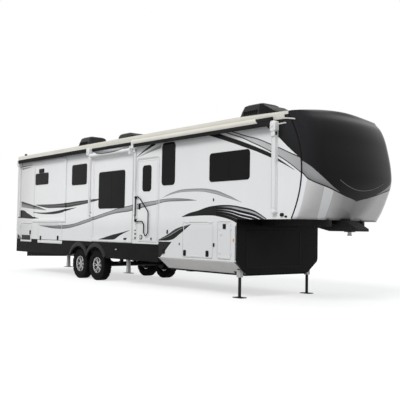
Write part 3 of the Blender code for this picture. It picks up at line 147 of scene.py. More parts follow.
class Graph:
    """The node tree of a material or the world, with short calls for the nodes used here."""

    def __init__(self, name: str, world: bool = False) -> None:
        """Make an empty tree with its output.

        Args:
            name: The name of the material or the world.
            world: Whether it is a world's tree.
        """
        self.owner = (bpy.data.worlds if world else bpy.data.materials).new(name)
        self.owner.use_nodes = True
        self.tree = self.owner.node_tree
        self.tree.nodes.clear()
        self.output = self.node("ShaderNodeOutputWorld" if world else "ShaderNodeOutputMaterial")

    def node(self, kind: str, **settings: object) -> bpy.types.Node:
        """Add a node.

        Args:
            kind: The node's class name.
            settings: Attributes to set on it.

        Returns:
            The new node.
        """
        made = self.tree.nodes.new(kind)
        for key, value in settings.items():
            setattr(made, key, value)
        return made

    def feed(self, socket: Socket, value: object) -> None:
        """Link a socket to another, or set its value.

        Args:
            socket: The input.
            value: A socket, or the value to set.
        """
        if isinstance(value, Socket):
            self.tree.links.new(value, socket)
        else:
            socket.default_value = value

    def math(self, operation: str, first: object, second: object = 0.0) -> Socket:
        """Work out one operation on two numbers.

        Args:
            operation: A Math node's operation.
            first: A socket or a number.
            second: A socket or a number.

        Returns:
            The result's socket.
        """
        made = self.node("ShaderNodeMath", operation=operation)
        self.feed(made.inputs[0], first)
        self.feed(made.inputs[1], second)
        return made.outputs[0]

    def spread(self, value: object, low: float, high: float, to_low: float = 0.0,
               to_high: float = 1.0, clamp: bool = True) -> Socket:
        """Map a number's range to another.

        Args:
            value: The socket to map.
            low: The value that becomes to_low.
            high: The value that becomes to_high.
            to_low: The lower result.
            to_high: The upper result.
            clamp: Whether results stop at the ends.

        Returns:
            The result's socket.
        """
        made = self.node("ShaderNodeMapRange", clamp=clamp)
        for socket, number in zip(made.inputs, (value, low, high, to_low, to_high)):
            self.feed(socket, number)
        return made.outputs[0]

    def ramp(self, value: object, stops: Sequence[Stop], stepped: bool = False) -> Socket:
        """Turn a number into a colour along a ramp.

        Args:
            value: The socket that drives it.
            stops: Places and colours.
            stepped: Whether the colours change in steps.

        Returns:
            The colour's socket.
        """
        made = self.node("ShaderNodeValToRGB")
        self.feed(made.inputs[0], value)
        band = made.color_ramp
        band.interpolation = "CONSTANT" if stepped else "LINEAR"
        while len(band.elements) < len(stops):
            band.elements.new(1.0)
        for element, (place, colour) in zip(band.elements, stops):
            element.position = place
            element.color = (*colour, 1.0)
        return made.outputs[0]

    def curve(self, value: object, points: Sequence[Point2]) -> Socket:
        """Read a smooth curve through points, both axes from 0 to 1.

        Args:
            value: The socket to look up.
            points: The curve's points in order.

        Returns:
            The height's socket.
        """
        made = self.node("ShaderNodeFloatCurve")
        line = made.mapping.curves[0]
        made.mapping.extend = "HORIZONTAL"
        made.mapping.use_clip = False
        while len(line.points) < len(points):
            line.points.new(0.5, 0.5)
        for knot, place in zip(line.points, points):
            knot.location = place
            knot.handle_type = "AUTO_CLAMPED"
        made.mapping.update()
        self.feed(made.inputs[1], value)
        return made.outputs[0]

    def mix(self, factor: object, under: object, over: object, blend: str = "MIX") -> Socket:
        """Mix two colours.

        Args:
            factor: How much of the second colour shows.
            under: The first colour.
            over: The second colour.
            blend: The way that they mix.

        Returns:
            The colour's socket.
        """
        made = self.node("ShaderNodeMix", data_type="RGBA", blend_type=blend)
        self.feed(made.inputs[0], factor)
        for socket, value in ((made.inputs[6], under), (made.inputs[7], over)):
            self.feed(socket, value if isinstance(value, Socket) else (*value, 1.0))
        return made.outputs[2]

    def shade(self, colour: object, value: object, span: Point2, stops: Sequence[Stop]) -> Socket:
        """A colour, multiplied by a ramp over a span of a value."""
        return self.mix(1.0, colour, self.ramp(self.spread(value, *span), stops), "MULTIPLY")

    def seen_directly(self) -> Socket:
        """One for rays from the camera, from gloss and through glass, and nought for the rest.

        Returns:
            The factor's socket.
        """
        path = self.node("ShaderNodeLightPath")
        seen = self.math("MAXIMUM", path.outputs["Is Camera Ray"], path.outputs["Is Glossy Ray"])
        return self.math("MAXIMUM", seen, path.outputs["Is Transmission Ray"])

    def place(self) -> Socket:
        """The surface's own place in the row frame."""
        return self.node("ShaderNodeTexCoord").outputs["Object"]

    def noise(self, scale: float, detail: float = 3.0, stretch: Point3 | None = None) -> Socket:
        """Noise over the surface.

        Args:
            scale: Its features a metre.
            detail: Its number of finer layers.
            stretch: Factors on each axis, for streaks.

        Returns:
            The noise's socket, about 0.5 in the middle.
        """
        made = self.node("ShaderNodeTexNoise")
        made.inputs["Scale"].default_value = scale
        made.inputs["Detail"].default_value = detail
        source = self.place()
        if stretch:
            mapping = self.node("ShaderNodeMapping")
            self.feed(mapping.inputs[0], source)
            mapping.inputs["Scale"].default_value = stretch
            source = mapping.outputs[0]
        self.feed(made.inputs["Vector"], source)
        return made.outputs["Fac"]


@dataclass(frozen=True)
class Finish:
    """A surface finish, with its two near colours, gloss, grain and relief."""

    name: str
    colour: Colour
    drift: Colour
    roughness: float
    spread: float = 0.08
    grain: float = 3.0
    relief_scale: float = 60.0
    relief: float = 0.0
    metallic: float = 0.0
    coat: float = 0.0
    stretch: Point3 | None = None
    specular: float = 0.5

    def build(self) -> bpy.types.Material:
        """Make the finish's material.

        Returns:
            A material whose colour, roughness and bump come from noise.
        """
        graph = Graph(self.name)
        broad = graph.noise(self.grain, 4.0, self.stretch)
        colour = graph.ramp(broad, ((0.3, self.colour), (0.72, self.drift)))
        return finish_shader(graph, colour, self)


def finish_shader(graph: Graph, colour: Socket, finish: Finish) -> bpy.types.Material:
    """Close a graph with a surface shader.

    Args:
        graph: The graph to close.
        colour: The base colour's socket.
        finish: Gloss, grain and relief.

    Returns:
        The finished material.
    """
    shader = graph.node("ShaderNodeBsdfPrincipled")
    fine = graph.noise(finish.relief_scale, 5.0, finish.stretch)
    graph.feed(shader.inputs["Base Color"], colour)
    low = max(finish.roughness - finish.spread, 0.02)
    graph.feed(shader.inputs["Roughness"], graph.spread(fine, 0.3, 0.7, low, finish.roughness + finish.spread))
    shader.inputs["Metallic"].default_value = finish.metallic
    shader.inputs["Coat Weight"].default_value = finish.coat
    shader.inputs["Specular IOR Level"].default_value = finish.specular
    if finish.relief:
        bump = graph.node("ShaderNodeBump")
        bump.inputs["Strength"].default_value = 1.0
        bump.inputs["Distance"].default_value = finish.relief
        graph.feed(bump.inputs["Height"], fine)
        graph.feed(shader.inputs["Normal"], bump.outputs[0])
    graph.feed(graph.output.inputs[0], shader.outputs[0])
    return graph.owner


# Painted bands


@dataclass(frozen=True)
class Band:
    """A painted band between a lower and an upper curve, over one field."""

    upper: tuple[Point2, ...]
    lower: tuple[Point2, ...]
    across: tuple[Stop, ...]
    along: tuple[Stop, ...] = ()
    stepped: bool = False
    camp_only: bool = False

    def paint(self, graph: Graph, u: Socket, v: Socket, under: Socket, across: Socket) -> Socket:
        """Lay the band over a colour.

        Args:
            graph: The graph to add to.
            u: The place along the band.
            v: The height.
            under: The colour below.
            across: The place's y, which keeps a one-sided band to the camp side.

        Returns:
            The colour with the band on it.
        """
        start = self.upper[0][0]
        end = self.upper[-1][0]
        heights = [height for _, height in self.upper + self.lower]
        floor = min(heights)
        rise = max(max(heights) - floor, 0.01)
        share = graph.spread(u, start, end, clamp=False)
        edges = []
        for line in (self.lower, self.upper):
            scaled = [((x - start) / (end - start), (z - floor) / rise) for x, z in line]
            edges.append(graph.spread(graph.curve(share, scaled), 0.0, 1.0, floor, floor + rise, clamp=False))
        low, high = edges
        inside = graph.math("MULTIPLY", graph.math("GREATER_THAN", v, low), graph.math("LESS_THAN", v, high))
        middle = graph.math("ABSOLUTE", graph.math("SUBTRACT", share, 0.5))
        inside = graph.math("MULTIPLY", inside, graph.math("LESS_THAN", middle, 0.5))
        if self.camp_only:
            inside = graph.math("MULTIPLY", inside, graph.math("LESS_THAN", across, 0.0))
        depth = graph.math("DIVIDE", graph.math("SUBTRACT", v, low), graph.math("SUBTRACT", high, low))
        colour = graph.ramp(depth, self.across, self.stepped)
        if self.along:
            colour = graph.mix(1.0, colour, graph.ramp(share, self.along), "MULTIPLY")
        return graph.mix(inside, under, colour)


def flat(tone: Colour) -> tuple[Stop, ...]:
    """A band's colours where it is one tone throughout."""
    return ((0.0, tone), (1.0, tone))


def plain(tone: Colour) -> tuple[Stop, ...]:
    """A band's colours where it is one tone, a touch lighter at its upper edge."""
    return ((0.0, tone), (1.0, tuple(part * 1.25 for part in tone)))


def edged(edge: Colour, low: Colour, high: Colour, width: float = 0.12) -> tuple[Stop, ...]:
    """A band's colours where thin edges enclose a shaded middle."""
    return ((0.0, edge), (width, edge), (width + 0.04, low), (1 - width - 0.04, high), (1 - width, edge), (1.0, edge))


BLACK = Tone.BLACK.rgb
CHARCOAL = Tone.CHARCOAL.rgb
DARK = Tone.DARK.rgb
MIDDLE = Tone.MIDDLE.rgb
GREY = Tone.GREY.rgb
PALE = Tone.PALE.rgb
WHITE = Tone.WHITE.rgb


def stroke(points: tuple[Point2, ...], width: float, tone: Colour) -> Band:
    """A thin painted line of a width along points.

    Args:
        points: The middle of the line.
        width: How wide it is.
        tone: Its colour.

    Returns:
        The line as a band.
    """
    upper = tuple((along, height + width / 2) for along, height in points)
    lower = tuple((along, height - width / 2) for along, height in points)
    return Band(upper, lower, flat(tone))


FADE_IN = ((0.0, grey(0.3)), (0.35, grey(0.85)), (0.8, grey(1.0)), (1.0, grey(0.45)))
ARC_STRIPES = (
    (0.0, BLACK), (0.22, MIDDLE), (0.25, BLACK), (0.43, WHITE), (0.47, BLACK),
    (0.6, WHITE), (0.66, BLACK), (0.8, PALE), (0.9, CHARCOAL),
)

SIDE_BANDS = (
    Band(((1.31, 2.045), (2.34, 2.035), (3.25, 2.055), (3.82, 2.085), (4.39, 2.105), (5.01, 2.125)),
         ((1.31, 2.03), (1.77, 1.965), (2.34, 1.925), (3.11, 1.925), (3.83, 1.965), (4.83, 2.065), (5.01, 2.095)),
         ((0.0, CHARCOAL), (0.4, DARK), (0.52, MIDDLE), (0.62, DARK), (1.0, CHARCOAL))),
    Band(((0.28, 2.17), (0.91, 2.07), (1.35, 2.0), (2.03, 1.87)),
         ((0.28, 1.985), (1.1, 1.92), (2.03, 1.862)),
         ((0.0, GREY), (0.62, MIDDLE), (0.74, CHARCOAL), (1.0, CHARCOAL))),
    Band(((1.19, 1.816), (1.87, 1.8), (2.58, 1.83), (3.11, 1.875), (3.83, 1.918)),
         ((1.19, 1.8), (1.7, 1.76), (2.35, 1.744), (2.74, 1.76), (3.26, 1.83), (3.83, 1.912)),
         ((0.0, DARK), (0.4, BLACK), (1.0, BLACK))),
    Band(((0.0, 1.73), (0.31, 1.89), (0.75, 1.79), (1.2, 1.675), (1.54, 1.635)),
         ((0.0, 1.655), (0.4, 1.64), (1.16, 1.62), (1.54, 1.63)), plain(BLACK)),
    Band(((1.6, 1.418), (2.37, 1.413), (2.95, 1.426), (3.5, 1.452), (4.2, 1.555), (4.85, 1.668), (5.47, 1.776),
          (6.05, 1.871), (6.6, 1.928), (6.76, 1.949), (7.53, 2.01), (8.11, 2.044), (8.57, 2.031), (9.07, 1.98)),
         ((1.6, 1.41), (1.98, 1.375), (2.38, 1.341), (2.96, 1.327), (3.36, 1.347), (3.86, 1.409), (4.53, 1.521),
          (5.17, 1.634), (5.77, 1.725), (6.56, 1.785), (6.82, 1.828), (7.54, 1.915), (8.11, 1.976), (9.07, 1.975)),
         edged(CHARCOAL, GREY, PALE), FADE_IN),
    Band(((5.1, 1.075), (5.67, 1.19), (6.08, 1.252), (6.5, 1.32)),
         ((5.1, 1.065), (5.8, 1.079), (5.97, 1.148), (6.14, 1.212), (6.5, 1.315)),
         flat(BLACK)),
    Band(((7.66, 1.1), (8.04, 1.235), (8.41, 1.384), (8.88, 1.47)),
         ((7.66, 1.09), (8.14, 1.11), (8.5, 1.259), (8.68, 1.357), (8.88, 1.466)),
         ((0.0, BLACK), (0.62, BLACK), (0.68, PALE), (0.74, CHARCOAL), (1.0, DARK))),
    Band(((7.7, 1.075), (8.2, 1.075)), ((7.7, 0.65), (8.2, 1.075)), plain(BLACK)),
    Band(((7.83, 2.074), (8.25, 2.188), (8.7, 2.234), (9.17, 2.229), (9.58, 2.187), (9.97, 2.088), (10.48, 1.904)),
         ((7.83, 2.069), (8.29, 2.15), (8.65, 2.173), (9.17, 2.163), (9.58, 2.107), (10.01, 2.011), (10.48, 1.899)),
         ((0.0, MIDDLE), (0.3, PALE), (0.75, GREY), (1.0, MIDDLE))),
    Band(((8.56, 1.636), (8.82, 1.711), (9.14, 1.765), (9.28, 1.798), (9.51, 1.84), (9.74, 1.858)),
         ((8.56, 1.625), (8.93, 1.642), (9.35, 1.653), (9.67, 1.644), (9.74, 1.636)), flat(BLACK)),
    Band(((9.7, 1.857), (9.82, 1.862), (10.13, 1.857), (10.5, 1.809), (10.82, 1.743), (10.94, 1.694), (11.16, 1.585)),
         ((9.7, 1.64), (9.98, 1.597), (10.23, 1.534), (10.4, 1.472), (10.89, 1.4), (11.16, 1.38)),
         ARC_STRIPES, ((0.0, grey(0.02)), (0.12, grey(0.15)), (0.4, grey(0.9)), (1.0, grey(1.0))), True),
    Band(((4.57, 3.419), (5.09, 3.376), (5.7, 3.345), (6.39, 3.39)),
         ((4.57, 3.396), (4.96, 3.304), (5.4, 3.253), (5.88, 3.256), (6.39, 3.313)),
         ((0.0, CHARCOAL), (0.22, DARK), (0.3, MIDDLE), (1.0, PALE))),
    Band(((6.72, 3.07), (7.03, 3.215), (7.34, 3.33), (7.51, 3.4)),
         ((6.72, 3.06), (7.03, 3.175), (7.34, 3.265), (7.51, 3.31)), plain(BLACK)),
    Band(((6.83, 3.08), (7.16, 3.165), (7.74, 3.29)), ((6.83, 3.075), (7.16, 3.13), (7.74, 3.215)), plain(GREY)),
    Band(((9.4, 3.46), (9.97, 3.267), (10.47, 3.104), (10.88, 2.956), (11.29, 2.791), (11.48, 2.683), (11.86, 2.463)),
         ((9.4, 3.34), (10.05, 3.144), (10.48, 3.004), (10.88, 2.871), (11.29, 2.714), (11.48, 2.636),
          (11.86, 2.455)), flat(BLACK)),
    Band(((9.9, 3.42), (10.31, 3.289), (10.6, 3.197), (10.88, 3.12), (11.3, 2.961), (11.7, 2.798), (12.04, 2.66)),
         ((9.9, 3.36), (10.14, 3.281), (10.47, 3.178), (10.74, 3.066), (11.29, 2.826), (11.75, 2.582), (12.04, 2.39)),
         flat(grey(0.62)), ((0.0, grey(1.0)), (0.45, grey(0.9)), (1.0, grey(0.62)))),
    stroke(((9.9, 3.36), (10.14, 3.281), (10.47, 3.178), (10.74, 3.066), (11.02, 2.95), (11.29, 2.826),
            (11.48, 2.735), (11.75, 2.582), (12.04, 2.39)), 0.02, BLACK),
    stroke(((9.9, 3.42), (10.31, 3.289), (10.6, 3.197), (10.88, 3.12), (11.3, 2.961), (11.48, 2.892),
            (11.7, 2.798), (12.04, 2.66)), 0.02, BLACK),
    Band(((10.9, 3.6), (12.1, 3.6)), ((10.9, 3.55), (11.2, 3.279), (11.47, 3.08), (11.7, 2.89), (12.1, 2.585)),
         ((0.0, BLACK), (1.0, (0.022, 0.023, 0.027)))),
    Band(((0.28, 3.275), (0.98, 3.285)), ((0.28, 3.245), (0.98, 3.275)), plain(DARK)),
    Band(((0.28, 3.205), (0.9, 3.215)), ((0.28, 3.17), (0.9, 3.205)), plain(DARK)),
    Band(((0.0, 1.17), (0.34, 1.03)), ((0.0, 1.012), (0.34, 1.012)), plain(BLACK)),
    Band(((0.36, 1.12), (0.98, 1.12)), ((0.36, 0.97), (0.98, 0.97)), plain(BLACK)),
)

CAP_BANDS = (
    Band(((1.07, 2.29), (1.115, 2.348), (1.174, 2.421), (1.25, 2.5), (1.34, 2.6)),
         ((1.07, 2.285), (1.085, 2.224), (1.121, 2.014), (1.176, 1.77), (1.243, 1.59), (1.34, 1.4)),
         flat(WHITE)),
    # Painted reflection: a lighter slanted strip on the camp side of the nose, standing for a highlight there.
    Band(((0.7, 2.1), (0.786, 2.13), (0.843, 2.165), (0.862, 2.069), (0.91, 1.83), (0.972, 1.616)),
         ((0.7, 2.06), (0.704, 2.039), (0.748, 1.837), (0.809, 1.645), (0.84, 1.5), (0.972, 1.5)),
         flat(grey(0.82)), camp_only=True),
    Band(((0.58, 2.097), (0.716, 2.164), (0.835, 2.279), (0.929, 2.387), (1.047, 2.526), (1.157, 2.617),
          (1.25, 2.68)),
         ((0.58, 2.06), (0.655, 2.081), (0.786, 2.134), (0.929, 2.194), (1.028, 2.253), (1.064, 2.28),
          (1.115, 2.348), (1.174, 2.421), (1.25, 2.5)),
         ((0.0, MIDDLE), (0.5, GREY), (1.0, GREY))),
    Band(((-0.06, 4.0), (1.6, 4.0)),
         ((-0.06, 1.902), (0.0, 1.927), (0.097, 1.949), (0.463, 2.022), (0.582, 2.08), (0.716, 2.164), (0.835, 2.279),
          (0.929, 2.387), (1.047, 2.526), (1.157, 2.617), (1.3, 2.73), (1.6, 2.95)),
         ((0.0, (0.016, 0.016, 0.018)), (1.0, (0.02, 0.02, 0.022))),
         ((0.0, grey(0.3)), (0.56, grey(0.35)), (0.7, grey(0.8)), (1.0, grey(1.0)))),
    Band(((-0.06, 1.921), (0.0, 1.946), (0.097, 1.968), (0.463, 2.041), (0.655, 2.101), (0.786, 2.154),
          (0.929, 2.214),
          (1.028, 2.273), (1.064, 2.302), (1.115, 2.37), (1.174, 2.445), (1.25, 2.53)),
         ((-0.06, 1.898), (0.0, 1.923), (0.097, 1.945), (0.463, 2.018), (0.655, 2.078), (0.786, 2.131),
          (0.929, 2.191),
          (1.028, 2.25), (1.064, 2.277), (1.115, 2.345), (1.174, 2.418), (1.25, 2.5)),
         flat((0.006, 0.006, 0.006))),
)

REAR_BANDS = (
    Band(((-1.22, 1.73), (-0.6, 1.64), (0.0, 1.6), (0.6, 1.64), (1.22, 1.73)),
         ((-1.22, 1.655), (-0.6, 1.57), (0.0, 1.535), (0.6, 1.57), (1.22, 1.655)), plain(BLACK)),
    Band(((-1.22, 2.02), (-0.6, 1.86), (0.0, 1.8), (0.6, 1.86), (1.22, 2.02)),
         ((-1.22, 1.9), (-0.6, 1.74), (0.0, 1.685), (0.6, 1.74), (1.22, 1.9)), edged(CHARCOAL, MIDDLE, GREY)),
)


CAP_MIDDLE = 11.5


class Field(Enum):
    """What a painted piece measures its bands along."""

    STATION = "station"
    ROUND_CAP = "round"
    ACROSS = "across"


@dataclass(frozen=True)
class Paint:
    """Gel coat with painted bands, in one field; on the walls its ramp along the field and its ramp over z are
    painted shade.
    """

    name: str
    bands: tuple[Band, ...]
    field_kind: Field
    base: Colour
    drift: Colour
    finish: Finish
    grade: tuple[Stop, ...] = ()
    grade_span: Point2 = (0.0, 1.0)
    fall: tuple[Stop, ...] = ()
    fall_span: Point2 = (1.35, 1.65)

    def build(self) -> bpy.types.Material:
        """Make the painted material.

        Returns:
            A material whose bands lie at their places in the row frame.
        """
        graph = Graph(self.name)
        split = graph.node("ShaderNodeSeparateXYZ")
        graph.feed(split.inputs[0], graph.place())
        x, y, z = split.outputs
        along = {
            Field.STATION: lambda: graph.math("ADD", x, REAR_FROM_MIDDLE),
            Field.ACROSS: lambda: y,
            Field.ROUND_CAP: lambda: graph.math(
                "ARCTAN2", graph.math("ABSOLUTE", y), graph.math("SUBTRACT", x, row_x(CAP_MIDDLE))),
        }[self.field_kind]()
        colour = graph.ramp(graph.noise(1.3, 3.0), ((0.3, self.base), (0.7, self.drift)))
        # A ramp along the field that multiplies the colour: painted shade on the walls, and on the cap the silver
        # darkening towards the nose's front.
        if self.grade:
            colour = graph.shade(colour, along, self.grade_span, self.grade)
        # A ramp over z that multiplies the colour: painted shade, darker towards the bottom of the walls.
        if self.fall:
            colour = graph.shade(colour, z, self.fall_span, self.fall)
        for band in self.bands:
            colour = band.paint(graph, along, z, colour, y)
        return finish_shader(graph, colour, self.finish)


# Painted shade along the side paint, by station: darker and a touch warmer over the rear metre or so, full from about
# 3 m to 6 m, a little darker from about 8 m forward. It lies on the walls, the entry door, the hatches and the
# slide-outs.
WALL_SHADE_ALONG = ((0.0, grey(0.8, 0.008)), (0.05, grey(0.84, 0.008)), (0.11, grey(0.97, 0.004)), (0.25, grey(1.0)),
              (0.5, grey(1.0)), (0.67, grey(0.94)), (1.0, grey(0.94)))
# Painted shade over height: the side paint is about an eighth darker below 1.35 m, rising to full by 1.65 m.
WALL_SHADE_LOW = ((0.0, grey(0.88)), (1.0, grey(1.0)))
CAP_GRADE = ((0.0, grey(0.46)), (0.35, grey(0.58)), (0.6, grey(0.95)), (1.0, grey(1.0)))

GEL = Finish("gel", WHITE, WHITE, 0.3, 0.04, relief_scale=14.0, relief=0.00003, specular=0.1)
CAP_GEL = Finish("cap_gel", WHITE, WHITE, 0.2, 0.03, relief_scale=9.0, relief=0.00003, specular=0.1)

BOARD = ((0.35, 0.25, 0.15), (0.47, 0.35, 0.22))
GRAIN_ALONG = (0.3, 3.0, 3.0)

FINISHES = (
    Finish("gelcoat_black", grey(0.005), grey(0.008), 0.3, 0.06, 2.0, 20.0, 0.00005, specular=0.06),
    Finish("gelcoat_panel", grey(0.007, 0.02), grey(0.01, 0.03), 0.42, 0.06, 1.6, 30.0, 0.00005, specular=0.06),
    Finish("skirt", grey(0.007), grey(0.011), 0.5, 0.1, 3.0, 90.0, 0.0001, specular=0.04),
    Finish("flare", grey(0.016), grey(0.024), 0.58, 0.1, 6.0, 320.0, 0.0004, specular=0.2),
    Finish("silver_pan", grey(0.46, 0.02), grey(0.56, 0.02), 0.34, 0.06, 1.2, 18.0, 0.0006, metallic=0.25),
    Finish("roof_sheet", grey(0.62, 0.03), grey(0.7, 0.02), 0.55, 0.08, 2.0, 70.0, 0.001),
    Finish("cream_metal", (0.66, 0.64, 0.57), (0.72, 0.7, 0.63), 0.34, 0.06, 1.5, 40.0, 0.0003),
    Finish("white_metal", grey(0.74), grey(0.8), 0.28, 0.06, 2.0, 60.0, 0.0002, coat=0.2),
    Finish("trim_white", grey(0.66), grey(0.72), 0.34, 0.06, 3.0, 80.0, 0.0003),
    Finish("fabric_dark", grey(0.012), grey(0.024), 0.82, 0.08, 9.0, 700.0, 0.0006, stretch=(0.2, 1.0, 1.0),
           specular=0.1),
    Finish("tyre", grey(0.005, 0.02), grey(0.01, 0.03), 0.72, 0.1, 14.0, 260.0, 0.0008, specular=0.06),
    Finish("alloy_bright", grey(0.52), grey(0.66), 0.22, 0.06, 9.0, 160.0, 0.0003, metallic=0.9),
    Finish("alloy_shadow", grey(0.006), grey(0.012), 0.55, 0.1, 9.0, 120.0, 0.0004, specular=0.05),
    Finish("glass_tint", (0.006, 0.006, 0.0065), (0.01, 0.01, 0.011), 0.09, 0.03, 0.8, 3.0, 0.0001, specular=0.055),
    Finish("rubber", grey(0.008), grey(0.014), 0.55, 0.1, 12.0, 200.0, 0.0004, specular=0.15),
    Finish("window_rim", grey(0.005), grey(0.008), 0.35, 0.06, 8.0, 60.0, 0.0001, specular=0.05),
    Finish("plastic_black", grey(0.006), grey(0.012), 0.42, 0.1, 8.0, 260.0, 0.0002, specular=0.08),
    Finish("shroud", grey(0.01), grey(0.018), 0.4, 0.1, 5.0, 120.0, 0.0003, specular=0.2),
    Finish("frame_paint", grey(0.009), grey(0.018), 0.5, 0.12, 6.0, 80.0, 0.0004, specular=0.15),
    Finish("steel", grey(0.3), grey(0.44), 0.42, 0.1, 12.0, 90.0, 0.0006, metallic=0.8),
    Finish("leg_steel", grey(0.36), grey(0.48), 0.42, 0.1, 14.0, 90.0, 0.0003, metallic=0.3, specular=0.3),
    Finish("leg_black", grey(0.01), grey(0.022), 0.45, 0.1, 14.0, 90.0, 0.0003, specular=0.12),
    Finish("trim_grey", grey(0.11), grey(0.15), 0.35, 0.06, 6.0, 60.0, 0.0001, specular=0.2),
    Finish("lens_red", (0.42, 0.012, 0.01), (0.55, 0.02, 0.016), 0.16, 0.05, 20.0, 340.0, 0.0016, coat=0.5),
    Finish("lens_amber", (0.62, 0.2, 0.02), (0.75, 0.28, 0.03), 0.18, 0.05, 20.0, 340.0, 0.0014, coat=0.5),
    Finish("lens_clear", grey(0.3), grey(0.5), 0.14, 0.05, 40.0, 300.0, 0.0014, coat=0.5),
)

PAINTS = (
    Paint("side_paint", SIDE_BANDS, Field.STATION, grey(0.86), grey(0.84), GEL, WALL_SHADE_ALONG, (0.0, 12.0), WALL_SHADE_LOW),
    Paint("cap_paint", CAP_BANDS, Field.ROUND_CAP, grey(0.6, 0.012), grey(0.62, 0.012), CAP_GEL, CAP_GRADE,
          (0.0, 1.2)),
    Paint("rear_paint", REAR_BANDS, Field.ACROSS, grey(0.8), grey(0.775), GEL),
)


class Palette:
    """Every material, made once."""

    def __init__(self) -> None:
        """Make the materials."""
        self.made = {recipe.name: recipe.build() for recipe in PAINTS + FINISHES}
        self.made["floor_faces"] = self.floor_faces()

    def floor_faces(self) -> bpy.types.Material:
        """A floor's material: board on the faces that look up, and black sheet on the rest.

        Returns:
            The material, which tells the faces apart by the way that they look.
        """
        graph = Graph("floor_faces")
        split = graph.node("ShaderNodeSeparateXYZ")
        graph.feed(split.inputs[0], graph.node("ShaderNodeNewGeometry").outputs["True Normal"])
        board = graph.ramp(graph.noise(5.0, 4.0, GRAIN_ALONG), ((0.3, BOARD[0]), (0.7, BOARD[1])))
        sheet = graph.ramp(graph.noise(3.0), ((0.3, grey(0.008)), (0.7, grey(0.014))))
        colour = graph.mix(graph.math("GREATER_THAN", split.outputs[2], 0.7), sheet, board)
        return finish_shader(graph, colour, Finish("floor_faces", WHITE, WHITE, 0.6, 0.08, relief_scale=80.0,
                                                   relief=0.0004, specular=0.08))

    def __getitem__(self, name: str) -> bpy.types.Material:
        """The material of a name."""
        return self.made[name]


# Shapes


@dataclass(frozen=True)
class Plane:
    """A flat face to build on: u along it, v up it and a height out of it."""

    origin: Vector
    u: Vector
    v: Vector
    out: Vector

    def at(self, u: float, v: float, height: float = 0.0) -> Vector:
        """A place on the plane, at a height out of it."""
        return self.origin + self.u * u + self.v * v + self.out * height

    @staticmethod
    def wall(side: Side) -> "Plane":
        """A side wall's outer face, with u as the station and v as z."""
        return Plane(spot(0.0, side.value * BODY_HALF, 0.0), AHEAD, UP, Vector((0, side.value, 0)))

    @staticmethod
    def rear() -> "Plane":
        """The rear wall's outer face, with u as y."""
        return Plane(spot(0.0, 0.0, 0.0), ACROSS, UP, Vector((-1, 0, 0)))

    @staticmethod
    def facing_front(station: float) -> "Plane":
        """A face that looks forward at a station, with u as y."""
        return Plane(spot(station, 0.0, 0.0), ACROSS, UP, AHEAD)

    @staticmethod
    def level(z: float) -> "Plane":
        """A level face that looks up, with u as the station and v as y."""
        return Plane(spot(0.0, 0.0, z), AHEAD, ACROSS, UP)


@dataclass(frozen=True)
class Rect:
    """A rounded rectangle on a plane."""

    u0: float
    u1: float
    v0: float
    v1: float
    radius: float = 0.0

    @staticmethod
    def about(u: float, v: float, width: float, height: float, radius: float = 0.0) -> "Rect":
        """A rectangle about its middle."""
        return Rect(u - width / 2, u + width / 2, v - height / 2, v + height / 2, radius)

    def outline(self, grow: float = 0.0) -> list[Point2]:
        """The rectangle's outline, grown or shrunk.

        Args:
            grow: How far each side moves out.

        Returns:
            Points anticlockwise, the same number at any growth.
        """
        u0, u1, v0, v1 = self.u0 - grow, self.u1 + grow, self.v0 - grow, self.v1 + grow
        radius = min(max(self.radius + grow, 0.0005), (u1 - u0) * 0.499, (v1 - v0) * 0.499)
        left, right, low, high = u0 + radius, u1 - radius, v0 + radius, v1 - radius
        corners = ((right, high), (left, high), (left, low), (right, low))
        points = []
        for number, (cu, cv) in enumerate(corners):
            for step in range(CORNER_STEPS + 1):
                angle = (number + step / CORNER_STEPS) * math.pi / 2
                points.append((cu + radius * math.cos(angle), cv + radius * math.sin(angle)))
        return points


